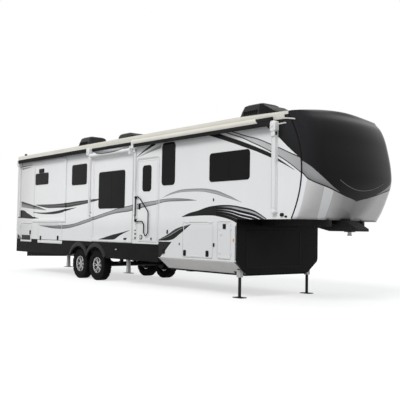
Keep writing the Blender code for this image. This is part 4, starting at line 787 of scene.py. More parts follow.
class Form:
    """Gathers shapes into one mesh, in the row frame."""

    def __init__(self) -> None:
        """Start an empty form."""
        self.mesh = bmesh.new()

    def skin(self, rings: Sequence[Sequence[Vector]], closed: bool = True, ends: bool = True) -> "Form":
        """Skin a row of rings.

        Args:
            rings: Rings with the same number of points.
            closed: Whether each ring closes on itself.
            ends: Whether the first and last rings are filled.

        Returns:
            The form itself.
        """
        rows = [[self.mesh.verts.new(point) for point in points] for points in rings]
        count = len(rows[0])
        for first, second in zip(rows, rows[1:]):
            for number in range(count if closed else count - 1):
                after = (number + 1) % count
                self.mesh.faces.new((first[number], first[after], second[after], second[number]))
        if ends:
            self.mesh.faces.new(reversed(rows[0]))
            self.mesh.faces.new(rows[-1])
        return self

    def panel(self, plane: Plane, rect: Rect, low: float, high: float, edge: float = 0.002) -> "Form":
        """A plate on a plane with softened outer edges."""
        rings = [(0.0, low), (0.0, high - edge), (-edge, high)]
        return self.skin([[plane.at(u, v, h) for u, v in rect.outline(grow)] for grow, h in rings])

    def plates(self, plane: Plane, rows: Iterable[Sequence[float]]) -> "Form":
        """Small plates on a plane.

        Args:
            plane: The plane that they lie on.
            rows: For each plate its middle's u and v, width, height, corner radius, lower and
                upper height out of the plane, and how far its upper edge is cut back.

        Returns:
            The form itself.
        """
        for u, v, wide, tall, radius, low, high, edge in rows:
            self.panel(plane, Rect.about(u, v, wide, tall, radius), low, high, edge)
        return self

    def along(self, section: Profile, run: Sequence[Point2]) -> "Form":
        """A section of y and z, carried along stations that each have a lift of their own."""
        return self.skin([[spot(x, y, z + lift) for y, z in section] for x, lift in run])

    def across(self, outline: Profile, places: Sequence[float]) -> "Form":
        """An outline of stations and z, carried across the trailer from one y to another."""
        return self.skin([[spot(x, y, z) for x, z in outline] for y in places])

    def moulding(self, plane: Plane, rect: Rect, profile: Profile) -> "Form":
        """A section swept round a rounded rectangle.

        Args:
            plane: The plane that it lies on.
            rect: The rectangle that it follows.
            profile: The section's points: how far out from the rectangle, and how high.

        Returns:
            The form itself.
        """
        rings = [[plane.at(u, v, h) for u, v in rect.outline(grow)] for grow, h in profile]
        return self.skin([*rings, rings[0]], ends=False)

    def slab(self, plane: Plane, outline: Sequence[Point2], low: float, high: float) -> "Form":
        """A flat plate of any outline, from one height to another."""
        return self.skin([[plane.at(u, v, h) for u, v in outline] for h in (low, high)])

    def turned(self, centre: Vector, axis: Vector, profile: Profile, segments: int = 24, ends: bool = True) -> "Form":
        """A turned shape.

        Args:
            centre: The axis's start.
            axis: The axis's direction.
            profile: Radius and place along the axis.
            segments: The number of flats round it.
            ends: Whether the ends are filled.

        Returns:
            The form itself.
        """
        axis = axis.normalized()
        side = axis.orthogonal().normalized()
        other = axis.cross(side)
        rings = []
        for radius, along in profile:
            points = []
            for number in range(segments):
                angle = 2 * math.pi * number / segments
                points.append(centre + axis * along + (side * math.cos(angle) + other * math.sin(angle)) * radius)
            rings.append(points)
        return self.skin(rings, ends=ends)

    def ribbon(self, path: Sequence[Vector], across: Vector, section: Profile) -> "Form":
        """A section carried along a path.

        Args:
            path: The points that it follows.
            across: The direction of the section's first axis.
            section: The section's points: along the first axis, and along the path's own normal.

        Returns:
            The form itself.
        """
        rings = []
        for number, point in enumerate(path):
            before = path[max(number - 1, 0)]
            after = path[min(number + 1, len(path) - 1)]
            up = across.cross((after - before).normalized()).normalized()
            rings.append([point + across * a + up * b for a, b in section])
        return self.skin(rings)

    def block(self, low: Point3, high: Point3, edge: float = 0.003) -> "Form":
        """A block between two corners with softened upright and level edges.

        Args:
            low: The lowest corner, as station, y and z.
            high: The highest corner.
            edge: How far each edge is cut back.

        Returns:
            The form itself.
        """
        x0, x1 = row_x(low[0]), row_x(high[0])
        edge = min(edge, (x1 - x0) * 0.3, (high[1] - low[1]) * 0.3, (high[2] - low[2]) * 0.3)
        rings = []
        for inset, z in ((edge, low[2]), (0.0, low[2] + edge), (0.0, high[2] - edge), (edge, high[2])):
            a0, a1, b0, b1 = x0 + inset, x1 - inset, low[1] + inset, high[1] - inset
            rings.append([Vector((x, y, z)) for x, y in (
                (a0 + edge, b0), (a1 - edge, b0), (a1, b0 + edge), (a1, b1 - edge),
                (a1 - edge, b1), (a0 + edge, b1), (a0, b1 - edge), (a0, b0 + edge))])
        return self.skin(rings)

    def piece(self, name: str, material: bpy.types.Material, body: str,
              replaces: Sequence[str] = (), smooth: float = 35.0) -> bpy.types.Object:
        """Make the form's object and hang it on its body.

        Args:
            name: The piece's name.
            material: Its material.
            body: The CAD body that it rides on.
            replaces: The CAD nodes that it stands for.
            smooth: The angle in degrees below which faces shade as one.

        Returns:
            The new object.
        """
        bmesh.ops.remove_doubles(self.mesh, verts=self.mesh.verts, dist=1e-6)
        bmesh.ops.recalc_face_normals(self.mesh, faces=self.mesh.faces)
        data = bpy.data.meshes.new(name)
        self.mesh.to_mesh(data)
        self.mesh.free()
        data.materials.append(material)
        data.shade_smooth()
        data.set_sharp_from_angle(angle=math.radians(smooth))
        made = bpy.data.objects.new(name, data)
        bpy.context.scene.collection.objects.link(made)
        if replaces:
            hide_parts(*replaces)
        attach(made, body)
        LOG.info("%s, %d faces, on %s", name, len(data.polygons), body)
        return made


def smooth_through(knots: Sequence[Point2], place: float) -> float:
    """A smooth curve's height at a place.

    Args:
        knots: Places and heights, in order.
        place: Where to read it.

    Returns:
        The height of a cubic that keeps each knot and rounds between them.
    """
    if place <= knots[0][0]:
        return knots[0][1]
    if place >= knots[-1][0]:
        return knots[-1][1]
    slopes = []
    for number in range(len(knots)):
        before = knots[max(number - 1, 0)]
        after = knots[min(number + 1, len(knots) - 1)]
        slopes.append((after[1] - before[1]) / (after[0] - before[0]))
    for number, ((a, low), (b, high)) in enumerate(zip(knots, knots[1:])):
        if place <= b:
            span = b - a
            t = (place - a) / span
            first = (2 * t ** 3 - 3 * t ** 2 + 1) * low + (t ** 3 - 2 * t ** 2 + t) * span * slopes[number]
            second = (-2 * t ** 3 + 3 * t ** 2) * high + (t ** 3 - t ** 2) * span * slopes[number + 1]
            return first + second
    return knots[-1][1]


def crown(share: float, edge: float = ROOF_EDGE, lift: float = 0.006) -> float:
    """The crowned roof's height at a share of its half width, a lift above its skin."""
    return edge + CROWN_RISE * (1 - share * share) + lift


def mirrored(points: Sequence[Point2]) -> list[Point2]:
    """Points mirrored to the other side, in reverse order."""
    return [(-y, z) for y, z in reversed(points)]


def thicken(made: bpy.types.Object, thickness: float, offset: float = -1.0) -> None:
    """Give an open sheet its thickness.

    Args:
        made: The sheet's object.
        thickness: How thick it becomes.
        offset: From -1, where it grows against its normals, to 1.
    """
    solid = made.modifiers.new("thickness", "SOLIDIFY")
    solid.thickness = thickness
    solid.offset = offset


# Sub-assemblies


@dataclass
class Assembly:
    """What every sub-assembly shares: the palette, and short calls that use it."""

    palette: Palette

    def add(self, form: Form, name: str, finish: str = "plastic_black", slot: str = "rail_black",
            body: str = "coach", replaces: Sequence[str] = (), smooth: float = 35.0) -> bpy.types.Object:
        """Make a form's object from a named finish and hang it on its body."""
        return form.piece(name, self.palette[finish], body, replaces, smooth)

    def dress(self, nodes: Sequence[str], finish: str, smooth: float | None = None) -> None:
        """Give CAD nodes a finish.

        Args:
            nodes: The nodes' names.
            finish: The finish for all their faces.
            smooth: The angle in degrees below which faces shade as one, or None for flat faces.
        """
        for node in nodes:
            data = frame["nodes"][node].data
            data.materials.clear()
            data.materials.append(self.palette[finish])
            if smooth is not None:
                data.shade_smooth()
                data.set_sharp_from_angle(angle=math.radians(smooth))
            LOG.info("%s takes %s", node, finish)


@dataclass
class Shell(Assembly):
    """The walls, roof, skirts and basement, with their mouldings."""

    gutter_z: float = 3.545
    nose_fall: float = 0.042
    arch_radius: float = 0.475
    arch_outer: float = 0.585
    arch_foot: float = 26.0
    arch_steps: int = 40
    wheel_z: float = 0.395
    wheel_stations: tuple[float, float] = (4.003, 4.902)
    recess: Rect = Rect(-0.93, 0.62, 0.62, 1.34, 0.03)
    pan_foot: Point2 = (0.905, 0.47)
    pan_top: float = 0.76

    def build(self) -> None:
        """Dress the CAD shell and add its mouldings."""
        self.dress(("side_wall_camp", "side_wall_off"), "side_paint")
        self.dress(("rear_wall",), "rear_paint")
        self.dress(("roof",), "cream_metal", 30)
        self.dress(("skirt_camp", "skirt_off"), "skirt")
        self.dress(("basement_pan",), "silver_pan")
        self.dress(("basement_front_wall",), "gelcoat_black")
        self.dress(("lower_floor", "upper_deck"), "floor_faces")
        for side in Side:
            self.corner_moulding(side)
            self.gutter(side)
            self.arch_flares(side)
            self.seams(side)
            self.lamps(side)
        self.roof_sheet()
        self.front_panel()
        self.under_panel()

    def corner_moulding(self, side: Side) -> None:
        """The upright trim where the side wall meets the rear wall.

        Args:
            side: Which side.
        """
        section = ((-0.006, -0.004), (0.045, -0.004), (0.045, 0.004), (0.012, 0.01), (-0.01, 0.012), (-0.014, 0.0))
        plane = Plane.wall(side)
        form = Form().skin([[plane.at(along, z, out) for along, out in section] for z in (1.0, WALL_TOP)])
        self.add(form, f"rear_corner_trim_{side.label}", "trim_white", "gelcoat_white")

    def gutter(self, side: Side) -> None:
        """The roof's drip rail, which ends in two short spouts ahead of it.

        Args:
            side: Which side.
        """
        section = ((0.0, -0.012), (0.016, -0.014), (0.022, -0.004), (0.02, 0.01), (0.014, 0.01), (0.012, -0.002),
                   (0.0, 0.0))
        plane = Plane.wall(side)
        top = self.gutter_z
        form = Form()
        for out, run in ((0.012, ((0.02, top), (10.3, top), (11.63, top - self.nose_fall))),
                         (0.008, ((11.56, 3.44), (11.75, 3.412), (11.88, 3.388))),
                         (0.002, ((11.46, 3.34), (11.66, 3.343)))):
            form.skin([[plane.at(x, z + rise, out + reach) for reach, rise in section] for x, z in run])
        self.add(form, f"gutter_{side.label}", "cream_metal", "gelcoat_white")

    def arch_flares(self, side: Side) -> None:
        """The moulded lips round the two wheels, which meet in a V between them.

        Args:
            side: Which side.
        """
        inner, outer, foot = self.arch_radius, self.arch_outer, math.radians(self.arch_foot)
        section = ((inner + 0.002, 0.0), (inner + 0.004, 0.024), (inner + 0.02, 0.03), (outer - 0.03, 0.022),
                   (outer, 0.006), (outer, 0.0))
        middle = sum(self.wheel_stations) / 2
        plane = Plane.wall(side)
        form = Form()
        for station, keep, gap in zip(self.wheel_stations, (min, max), (-0.001, 0.001)):
            rings = []
            for step in range(self.arch_steps + 1):
                angle = foot + (math.pi - 2 * foot) * step / self.arch_steps
                rings.append([plane.at(keep(station + radius * math.cos(angle), middle + gap),
                                       self.wheel_z + radius * math.sin(angle), height)
                              for radius, height in section])
            form.skin(rings)
        self.add(form, f"arch_flares_{side.label}", "flare", "skirt_black")

    def seams(self, side: Side) -> None:
        """Thin joint covers along the wall: at the skirt, the step and the upright joints.

        Args:
            side: Which side.
        """
        form = Form()
        for edges in ((0.02, 7.69, 0.994, 1.006), (7.694, 7.706, 0.74, 1.02), (10.296, 10.312, 0.74, 1.44)):
            form.panel(Plane.wall(side), Rect(*edges, 0.001), 0.0, 0.004, 0.0015)
        self.add(form, f"skirt_seam_{side.label}", "plastic_black", "skirt_black")

    def lamps(self, side: Side) -> None:
        """Small lamps on the skirt, and the markers at the basement's front edge and the rear.

        Args:
            side: Which side.
        """
        plane = Plane.wall(side)
        form = Form().plates(plane, ((5.896, 0.835, 0.075, 0.03, 0.014, 0.0, 0.012, 0.005),))
        self.add(form, f"skirt_lamp_{side.label}", "lens_clear", "lamp_red")
        form = Form().plates(plane, ((10.249, 1.153, 0.028, 0.066, 0.013, 0.0, 0.014, 0.006),
                                     (0.236, 1.045, 0.05, 0.026, 0.012, 0.0, 0.014, 0.006)))
        self.add(form, f"marker_lamps_{side.label}", "lens_amber", "lamp_red")

    def roof_sheet(self) -> None:
        """The membrane over the roof's crown, up to its edges."""
        shares = [-1 + step / 8 for step in range(17)]
        run = ((0.01, ROOF_EDGE), (10.3, ROOF_EDGE), (11.69, ROOF_EDGE - 0.04))
        form = Form().skin([[spot(station, share * ROOF_HALF, crown(share, edge)) for share in shares]
                            for station, edge in run], closed=False, ends=False)
        thicken(self.add(form, "roof_membrane_sheet", "roof_sheet", "roof_membrane"), 0.004)

    def front_panel(self) -> None:
        """The black wall across the basement's front, with its recess and rounded corners."""
        plane = Plane.facing_front(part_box("basement_front_wall")[1].x + REAR_FROM_MIDDLE)
        form = Form().slab(plane, self.front_outline(), 0.0005, 0.01)
        self.add(form, "front_wall_face", "gelcoat_black", "gelcoat_black")
        edge = ((0.0, 0.01), (0.0, 0.017), (0.01, 0.019), (0.022, 0.015), (0.022, 0.01))
        form = Form().moulding(plane, self.recess, edge)
        self.add(form, "front_wall_recess_edge", "plastic_black", "gelcoat_black")
        form = Form().panel(plane, self.recess, 0.01, 0.0125, 0.001)
        for u, v in ((-0.9, 0.655), (0.59, 0.655), (-0.9, 1.305), (0.59, 1.305), (-0.155, 1.305), (-0.155, 0.655)):
            form.turned(plane.at(u, v, 0.012), plane.out, ((0.007, 0.0), (0.007, 0.003), (0.003, 0.005)), 10)
        self.add(form, "front_wall_panel", "gelcoat_panel", "gelcoat_black")

    def front_outline(self) -> list[Point2]:
        """The front wall's outline, rounded at the top and slanted at the bottom.

        Returns:
            The outline's points.
        """
        half, top, crease, bottom, foot, radius = 1.218, 1.565, 0.72, 0.472, 0.905, 0.13
        arc = [(half - radius + radius * math.cos(angle), top - radius + radius * math.sin(angle))
               for angle in (step * math.pi / 16 for step in range(9))]
        slant = [(foot, bottom), (foot + 0.03, bottom + 0.03), (half - 0.02, crease - 0.02), (half, crease + 0.05)]
        return arc + mirrored(arc) + mirrored(slant) + slant

    def under_panel(self) -> None:
        """The dark sheets below the basement and the tail, and the fittings on the pan's slanted side."""
        form = Form().block((7.74, -0.902, 0.436), (10.27, 0.902, 0.47), 0.006)
        form.across(((0.31, 0.455), (2.6, 0.54), (2.6, 0.65), (0.31, 0.65)), (-1.0, 1.0))
        self.add(form, "under_panel", "skirt", "skirt_black")
        form = Form()
        for side in Side:
            for rect, low, high, edge in ((Rect(8.37, 8.57, 0.15, 0.212, 0.028), 0.0, 0.006, 0.002),
                                          (Rect(8.395, 8.545, 0.165, 0.197, 0.014), 0.005, 0.01, 0.003),
                                          (Rect(9.99, 10.262, 0.012, 0.085, 0.006), 0.0, 0.014, 0.004)):
                form.panel(self.pan_plane(side), rect, low, high, edge)
        self.add(form, "pan_fittings")

    def pan_plane(self, side: Side) -> Plane:
        """The basement's slanted side face, with u as the station and v up the slope.

        Args:
            side: Which side.

        Returns:
            The face's plane.
        """
        half, low = self.pan_foot
        foot, top = Vector((0, side.value * half, low)), Vector((0, side.value * BODY_HALF, self.pan_top))
        up = (top - foot).normalized()
        return Plane(spot(0.0, foot.y, foot.z), AHEAD, up, Vector((0, side.value * up.z, -side.value * up.y)))


@dataclass
class NoseCap(Assembly):
    """The moulded nose, lofted through level sections, with its seam moulding."""

    deck_under: float = 1.57
    edge_top: float = 3.56
    seam_top: float = 11.7
    corner_reach: float = 0.42
    bow_depth: float = 0.12
    rise: float = 0.055
    seam_gap: float = 0.0003
    least_half: float = 0.02
    corner_share: float = 0.6
    depth_share: float = 0.85
    settle_steps: int = 4
    arc_steps: int = 14
    bow_steps: int = 15
    trim_half: float = 0.64
    trim_low: float = 2.12
    trim_sag: float = 0.4
    beside: tuple[Point2, ...] = (
        (0.0, 0.34), (0.09, 0.49), (0.22, 0.64), (0.38, 0.79), (0.54, 0.775),
        (0.72, 0.7), (0.84, 0.645), (0.95, 0.54), (1.0, 0.43),
    )
    above: tuple[Point2, ...] = ((0.0, 0.36), (0.47, 0.32), (0.82, 0.26), (0.97, 0.13))
    seam_knots: tuple[Point2, ...] = ((1.57, 11.79), (2.55, 12.03), (3.5, 11.7))

    def build(self) -> None:
        """Build the cap, its seam moulding, its trim line and its lower flange."""
        form = Form().skin([self.section(z, reach) for z, reach in self.profile()], closed=False, ends=False)
        made = self.add(form, "nose_shell", "cap_paint", "gelcoat_black", replaces=["nose_cap"], smooth=60)
        thicken(made, 0.012)
        self.seam_moulding()
        self.trim_line()
        self.underside_lip()

    def seam_station(self, z: float) -> float:
        """The station of the seam between the cap and the walls at a height.

        Args:
            z: The height.

        Returns:
            A parabola through the seam's three knots, and the upper knot above it.
        """
        if z >= WALL_TOP:
            return self.seam_top
        total = 0.0
        for here, station in self.seam_knots:
            others = [other for other, _ in self.seam_knots if other != here]
            total += station * math.prod((z - other) / (here - other) for other in others)
        return total

    def crown_half(self, z: float) -> float:
        """Half the cap's width at a height.

        Args:
            z: The height.

        Returns:
            The half width, which shrinks above the roof's edge.
        """
        if z <= self.edge_top:
            return BODY_HALF
        return BODY_HALF * math.sqrt(max(1 - (z - self.edge_top) / CROWN_RISE, 0.0))

    def side_knots(self) -> list[Point2]:
        """The knots of the cap's centre line beside the walls, as heights and reaches."""
        return [(self.deck_under + share * (WALL_TOP - self.deck_under), reach) for share, reach in self.beside]

    def profile(self) -> list[Point2]:
        """The cap's centre line, from its foot to its crown.

        Returns:
            Heights with the nose's reach ahead of the seam's upper end, rounded between knots.
        """
        knots = self.side_knots() + [(self.edge_top + share * CROWN_RISE, reach) for share, reach in self.above]
        heights = [knots[0][0]]
        for (low, _), (high, _) in zip(knots, knots[1:]):
            parts = max(2, round((high - low) / self.rise))
            heights += [low + (high - low) * step / parts for step in range(1, parts + 1)]
        return [(z, smooth_through(knots, z)) for z in heights]

    def section(self, z: float, reach: float) -> list[Vector]:
        """A level section from the off side's seam round the nose to the camp side's.

        Args:
            z: Its height.
            reach: How far the nose stands ahead of the seam's upper end.

        Returns:
            Its points.
        """
        half = max(self.crown_half(z), self.least_half)
        tip = self.seam_top + reach
        back = self.seam_station(z) + self.seam_gap
        depth = tip - back
        bow = min(self.bow_depth * half / BODY_HALF, depth / 4)
        across = min(self.corner_reach, half * self.corner_share)
        along = min(self.corner_reach, (depth - bow) * self.depth_share)
        bow_end = half - across
        for _ in range(self.settle_steps):
            tilt = math.atan(2 * bow * across / (bow_end * along))
            bow_end = half - across + across * math.sin(tilt)
        corner = tip - bow - along * math.cos(tilt)
        points = [(back, half), (back + (corner - back) * 0.5, half)]
        for step in range(self.arc_steps + 1):
            angle = math.pi / 2 + (tilt - math.pi / 2) * step / self.arc_steps
            points.append((corner + along * math.cos(angle), half - across + across * math.sin(angle)))
        for step in range(1, self.bow_steps + 1):
            y = bow_end * (1 - step / self.bow_steps)
            points.append((tip - bow * (y / bow_end) ** 2, y))
        points += [(x, -y) for x, y in reversed(points[:-1])]
        return [spot(x, y, z) for x, y in points]

    def seam_moulding(self) -> None:
        """The black strip over the seam, on both sides."""
        section = ((-0.016, -0.002), (0.016, -0.002), (0.014, 0.006), (0.004, 0.01), (-0.004, 0.01), (-0.014, 0.006))
        low, high = self.deck_under + 0.01, WALL_TOP - 0.01
        form = Form()
        for side in Side:
            plane = Plane.wall(side)
            form.skin([[plane.at(self.seam_station(z) + a, z, b) for a, b in section]
                       for z in (low + (high - low) * step / 30 for step in range(31))])
        self.add(form, "nose_seam_moulding", "plastic_black", "gelcoat_black")

    def trim_line(self) -> None:
        """The thin grey line that sags across the nose's front."""
        path = []
        for step in range(33):
            y = self.trim_half * (step / 16 - 1)
            z = self.trim_low + self.trim_sag * y * y
            reach = smooth_through(self.side_knots(), z)
            bow_end = self.section(z, reach)[self.arc_steps + 2].y
            back = self.bow_depth * min(abs(y) / bow_end, 1.0) ** 2
            path.append(spot(self.seam_top + reach - back + 0.004, y, z))
        form = Form().ribbon(path, UP, ((-0.006, -0.006), (0.006, -0.006), (0.004, 0.003), (-0.004, 0.003)))
        self.add(form, "nose_trim_line", "trim_grey", "steel_grey")

    def underside_lip(self) -> None:
        """The flange below the cap, closing it to the deck."""
        lift = Vector((0, 0, 0.001))
        outer = [point + lift for point in self.section(self.deck_under, self.beside[0][1])]
        inner = [Vector((point.x - 0.1, point.y * 0.9, point.z)) for point in outer]
        form = Form().skin([outer, inner], closed=False, ends=False)
        thicken(self.add(form, "nose_under_lip", "gelcoat_black", "gelcoat_black"), 0.01, 0.0)


@dataclass(frozen=True)
class WindowPlan:
    """A window's node, body, corner radius and whether a sash bar halves it."""

    node: str
    radius: float
    halved: bool = True
    body: str = "coach"
    side: Side = Side.CAMP


@dataclass
class Windows(Assembly):
    """Tinted panes in thin black frames."""

    plans: tuple[WindowPlan, ...] = (
        WindowPlan("mid_window", 0.06, False),
        WindowPlan("tall_window", 0.09, False),
        WindowPlan("bedroom_window", 0.07),
        WindowPlan("entry_door_window", 0.08, False, "entry_door_body"),
        WindowPlan("slide_main_window", 0.07, True, "slide_main_body"),
        WindowPlan("slide_rear_window", 0.05, True, "slide_rear_body"),
        WindowPlan("off_rear_window", 0.07, side=Side.OFF),
        WindowPlan("slide_off_window", 0.07, True, "slide_off_body", Side.OFF),
        WindowPlan("slide_bed_window", 0.07, True, "slide_bed_body", Side.OFF),
    )
    rim: Profile = ((0.004, 0.0), (0.004, 0.006), (0.0, 0.011), (-0.004, 0.0115), (-0.007, 0.0085), (-0.007, 0.0))

    def build(self) -> None:
        """Dress every pane and frame it."""
        for plan in self.plans:
            low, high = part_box(plan.node)
            rect = Rect(low.x + REAR_FROM_MIDDLE, high.x + REAR_FROM_MIDDLE, low.z, high.z, plan.radius)
            self.surround(plan, Plane.wall(plan.side), rect)
        low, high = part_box("rear_window")
        self.surround(WindowPlan("rear_window", 0.07), Plane.rear(), Rect(low.y, high.y, low.z, high.z, 0.07))
        self.vent()

    def surround(self, plan: WindowPlan, plane: Plane, rect: Rect) -> None:
        """A frame round a pane, with its sash bar.

        Args:
            plan: The window.
            plane: The plane of the wall.
            rect: The pane's outline.
        """
        self.dress((plan.node,), "glass_tint")
        form = Form().moulding(plane, rect, self.rim)
        if plan.halved:
            u = (rect.u0 + rect.u1) / 2
            bar = Rect(u - 0.008, u + 0.008, rect.v0 + 0.004, rect.v1 - 0.004, 0.001)
            form.panel(plane, bar, 0.007, 0.0098, 0.0015)
        self.add(form, f"{plan.node}_frame", "window_rim", "rail_black", plan.body)

    def vent(self) -> None:
        """The narrow dark vent above the rear slide-out's window."""
        form = Form().plates(Plane.wall(Side.CAMP), (
            (1.645, 3.0525, 0.34, 0.125, 0.02, 0.0, 0.01, 0.004),
            *((1.645, 3.021 + row * 0.024, 0.29, 0.012, 0.004, 0.009, 0.014, 0.003) for row in range(4))))
        self.add(form, "rear_slide_vent", body="slide_rear_body")


@dataclass(frozen=True)
class HatchPlan:
    """A compartment door's node, side, opening and latches."""

    node: str
    rect: Rect
    latches: tuple[Point2, ...] = ()
    side: Side = Side.CAMP


@dataclass
class Doors(Assembly):
    """The entry door, the compartment doors and their hardware."""

    door: Rect = Rect(6.81, 7.66, 1.05, 3.0, 0.05)
    sill: Rect = Rect(6.78, 7.69, 1.004, 1.028, 0.004)
    leaf: Rect = Rect(6.835, 7.62, 1.085, 2.965, 0.045)
    rail_x: float = 6.775
    fittings: tuple[tuple[float, ...], ...] = (
        (9.655, 1.043, 0.03, 0.075, 0.024), (8.487, 1.035, 0.022, 0.05, 0.014), (8.041, 1.295, 0.036, 0.085, 0.02),
        (7.913, 0.857, 0.085, 0.105, 0.03), (6.655, 1.102, 0.01, 0.03, 0.006), (9.624, 1.976, 0.024, 0.06, 0.018),
        (4.62, 1.77, 0.028, 0.034, 0.006), (11.571, 1.65, 0.075, 0.06, 0.03), (11.664, 1.616, 0.055, 0.03, 0.018),
    )
    hatches: tuple[HatchPlan, ...] = (
        HatchPlan("front_hatch_camp", Rect(8.6, 9.615, 0.76, 1.51), ((8.678, 0.848), (9.438, 0.856))),
        HatchPlan("front_hatch_off", Rect(8.6, 9.615, 0.76, 1.51), ((8.7, 0.85), (9.5, 0.85)), Side.OFF),
        HatchPlan("utility_hatch", Rect(9.755, 10.165, 0.765, 1.518)),
        HatchPlan("rear_hatch", Rect(1.48, 3.04, 0.9, 1.46), ((1.685, 1.045), (2.785, 1.062))),
        HatchPlan("corner_hatch", Rect(0.28, 1.06, 0.915, 1.47), ((0.97, 1.2),)),
    )

    def build(self) -> None:
        """Dress the doors and add trims, latches and catches."""
        self.entry()
        self.entry_hardware()
        self.entry_fittings()
        for plan in self.hatches:
            self.hatch(plan)
        self.utility_ports()
        self.wall_fittings()

    def entry(self) -> None:
        """The door's outer trim with its sill, and its leaf lip."""
        plane = Plane.wall(Side.CAMP)
        self.dress(("entry_door",), "side_paint")
        self.dress(("handrail",), "plastic_black", 60)
        trim = ((0.02, 0.0), (0.02, 0.006), (0.026, 0.009), (0.04, 0.009), (0.046, 0.004), (0.046, 0.0))
        form = Form().moulding(plane, self.door, trim).panel(plane, self.sill, 0.0, 0.012, 0.004)
        self.add(form, "entry_door_trim", "trim_white", "gelcoat_white")
        lip = ((0.0, 0.0), (0.0, 0.0025), (-0.004, 0.004), (-0.01, 0.004), (-0.014, 0.0))
        form = Form().moulding(plane, self.leaf, lip)
        self.add(form, "entry_door_lip", "trim_white", "gelcoat_white", "entry_door_body")

    def entry_hardware(self) -> None:
        """The door's handle and catch, and the round cover near its foot."""
        plane = Plane.wall(Side.CAMP)
        form = Form().plates(plane, (
            (6.905, 1.885, 0.085, 0.135, 0.016, 0.0, 0.012, 0.004),
            (6.915, 1.872, 0.045, 0.075, 0.01, 0.011, 0.026, 0.006),
            (7.414, 1.123, 0.034, 0.06, 0.008, 0.0, 0.02, 0.006),
            (6.985, 1.16, 0.125, 0.105, 0.045, 0.0, 0.012, 0.005)))
        form.turned(plane.at(6.895, 1.93, 0.011), plane.out, ((0.013, 0.0), (0.012, 0.005), (0.004, 0.006)), 16)
        self.add(form, "entry_door_handle", body="entry_door_body")
        form = Form().plates(plane, ((6.985, 1.16, 0.098, 0.078, 0.034, 0.01, 0.016, 0.003),
                                     (6.985, 1.152, 0.06, 0.04, 0.018, 0.015, 0.022, 0.004)))
        self.add(form, "entry_door_cover", "silver_pan", "steel_grey", "entry_door_body")

    def entry_fittings(self) -> None:
        """The rail's brackets and the switches below them."""
        plane = Plane.wall(Side.CAMP)
        knuckle = ((0.019, 0.0), (0.021, 0.006), (0.021, 0.038), (0.019, 0.044))
        form = Form()
        for v in (2.105, 1.555):
            form.plates(plane, ((self.rail_x, v, 0.036, 0.085, 0.014, 0.0, 0.012, 0.004),
                                (self.rail_x, v, 0.02, 0.034, 0.004, 0.01, 0.034, 0.004)))
            form.turned(plane.at(self.rail_x, v - 0.022, 0.04), UP, knuckle, 16)
        form.plates(plane, ((6.752, v, 0.06, tall, 0.008, 0.0, 0.011, 0.004)
                            for v, tall in ((1.318, 0.03), (1.235, 0.05), (1.132, 0.06))))
        self.add(form, "entry_fittings")

    def hatch(self, plan: HatchPlan) -> None:
        """A compartment door's lip and latches.

        Args:
            plan: The door.
        """
        plane = Plane.wall(plan.side)
        body = f"{plan.node}_body"
        self.dress((plan.node,), "side_paint")
        rect = plan.rect
        inner = Rect(rect.u0 + 0.022, rect.u1 - 0.022, rect.v0 + 0.022, rect.v1 - 0.022, 0.035)
        lip = ((0.0, 0.0), (0.0, 0.003), (-0.005, 0.005), (-0.012, 0.005), (-0.017, 0.0))
        self.add(Form().moulding(plane, inner, lip), f"{plan.node}_lip", "trim_white", "gelcoat_white", body)
        if not plan.latches:
            return
        form = Form()
        for u, v in plan.latches:
            form.plates(plane, ((u, v, 0.094, 0.13, 0.022, 0.0, 0.01, 0.003),
                                (u, v + 0.01, 0.06, 0.074, 0.012, 0.009, 0.02, 0.006)))
            form.turned(plane.at(u, v - 0.046, 0.009), plane.out, ((0.008, 0.0), (0.008, 0.004), (0.003, 0.005)), 12)
        self.add(form, f"{plan.node}_latches", body=body)

    def utility_ports(self) -> None:
        """The square port and the round caps on the utility door."""
        plane = Plane.wall(Side.CAMP)
        form = Form().plates(plane, ((9.969, 1.425, 0.088, 0.1, 0.01, 0.0, 0.013, 0.004),
                                     (9.969, 1.425, 0.056, 0.066, 0.008, 0.012, 0.018, 0.004)))
        self.add(form, "utility_port", body="utility_hatch_body")
        form = Form()
        for u, v, r in ((9.834, 0.896, 0.024), (9.822, 1.374, 0.018), (9.87, 1.265, 0.026)):
            form.turned(plane.at(u, v), plane.out, ((r, 0.0), (r, 0.006), (r * 0.8, 0.01), (r * 0.3, 0.011)), 20)
        self.add(form, "utility_caps", "trim_white", "gelcoat_white", "utility_hatch_body")

    def wall_fittings(self) -> None:
        """Catches, vents and small covers on the camp side's wall."""
        plane = Plane.wall(Side.CAMP)
        form = Form().plates(plane, ((u, v, wide, tall, min(wide, tall) * 0.3, 0.0, thick, 0.004)
                                     for u, v, wide, tall, thick in self.fittings))
        self.add(form, "wall_fittings_camp")
        form = Form().plates(plane, ((6.328, 1.104, 0.11, 0.042, 0.02, 0.0, 0.036, 0.004),))
        self.add(form, "slide_main_oval", body="slide_main_body")


@dataclass
class SlideRooms(Assembly):
    """The slide-out rooms' paint and seals."""

    rooms: tuple[tuple[str, Side, Rect], ...] = (
        ("slide_main", Side.CAMP, Rect(4.72, 6.58, 1.06, 3.22)),
        ("slide_rear", Side.CAMP, Rect(1.17, 3.19, 1.56, 3.31)),
        ("slide_off", Side.OFF, Rect(3.35, 6.6, 1.06, 3.22)),
        ("slide_bed", Side.OFF, Rect(8.95, 10.85, 1.78, 3.22)),
    )
    seal: Profile = ((-0.012, 0.0), (-0.012, 0.004), (-0.018, 0.006), (-0.024, 0.004), (-0.024, 0.0))

    def build(self) -> None:
        """Dress each room and add its thin shadow seal."""
        for name, side, rect in self.rooms:
            self.dress((name,), "side_paint")
            form = Form().moulding(Plane.wall(side), rect, self.seal)
            self.add(form, f"{name}_seal", "trim_white", "gelcoat_white", f"{name}_body")


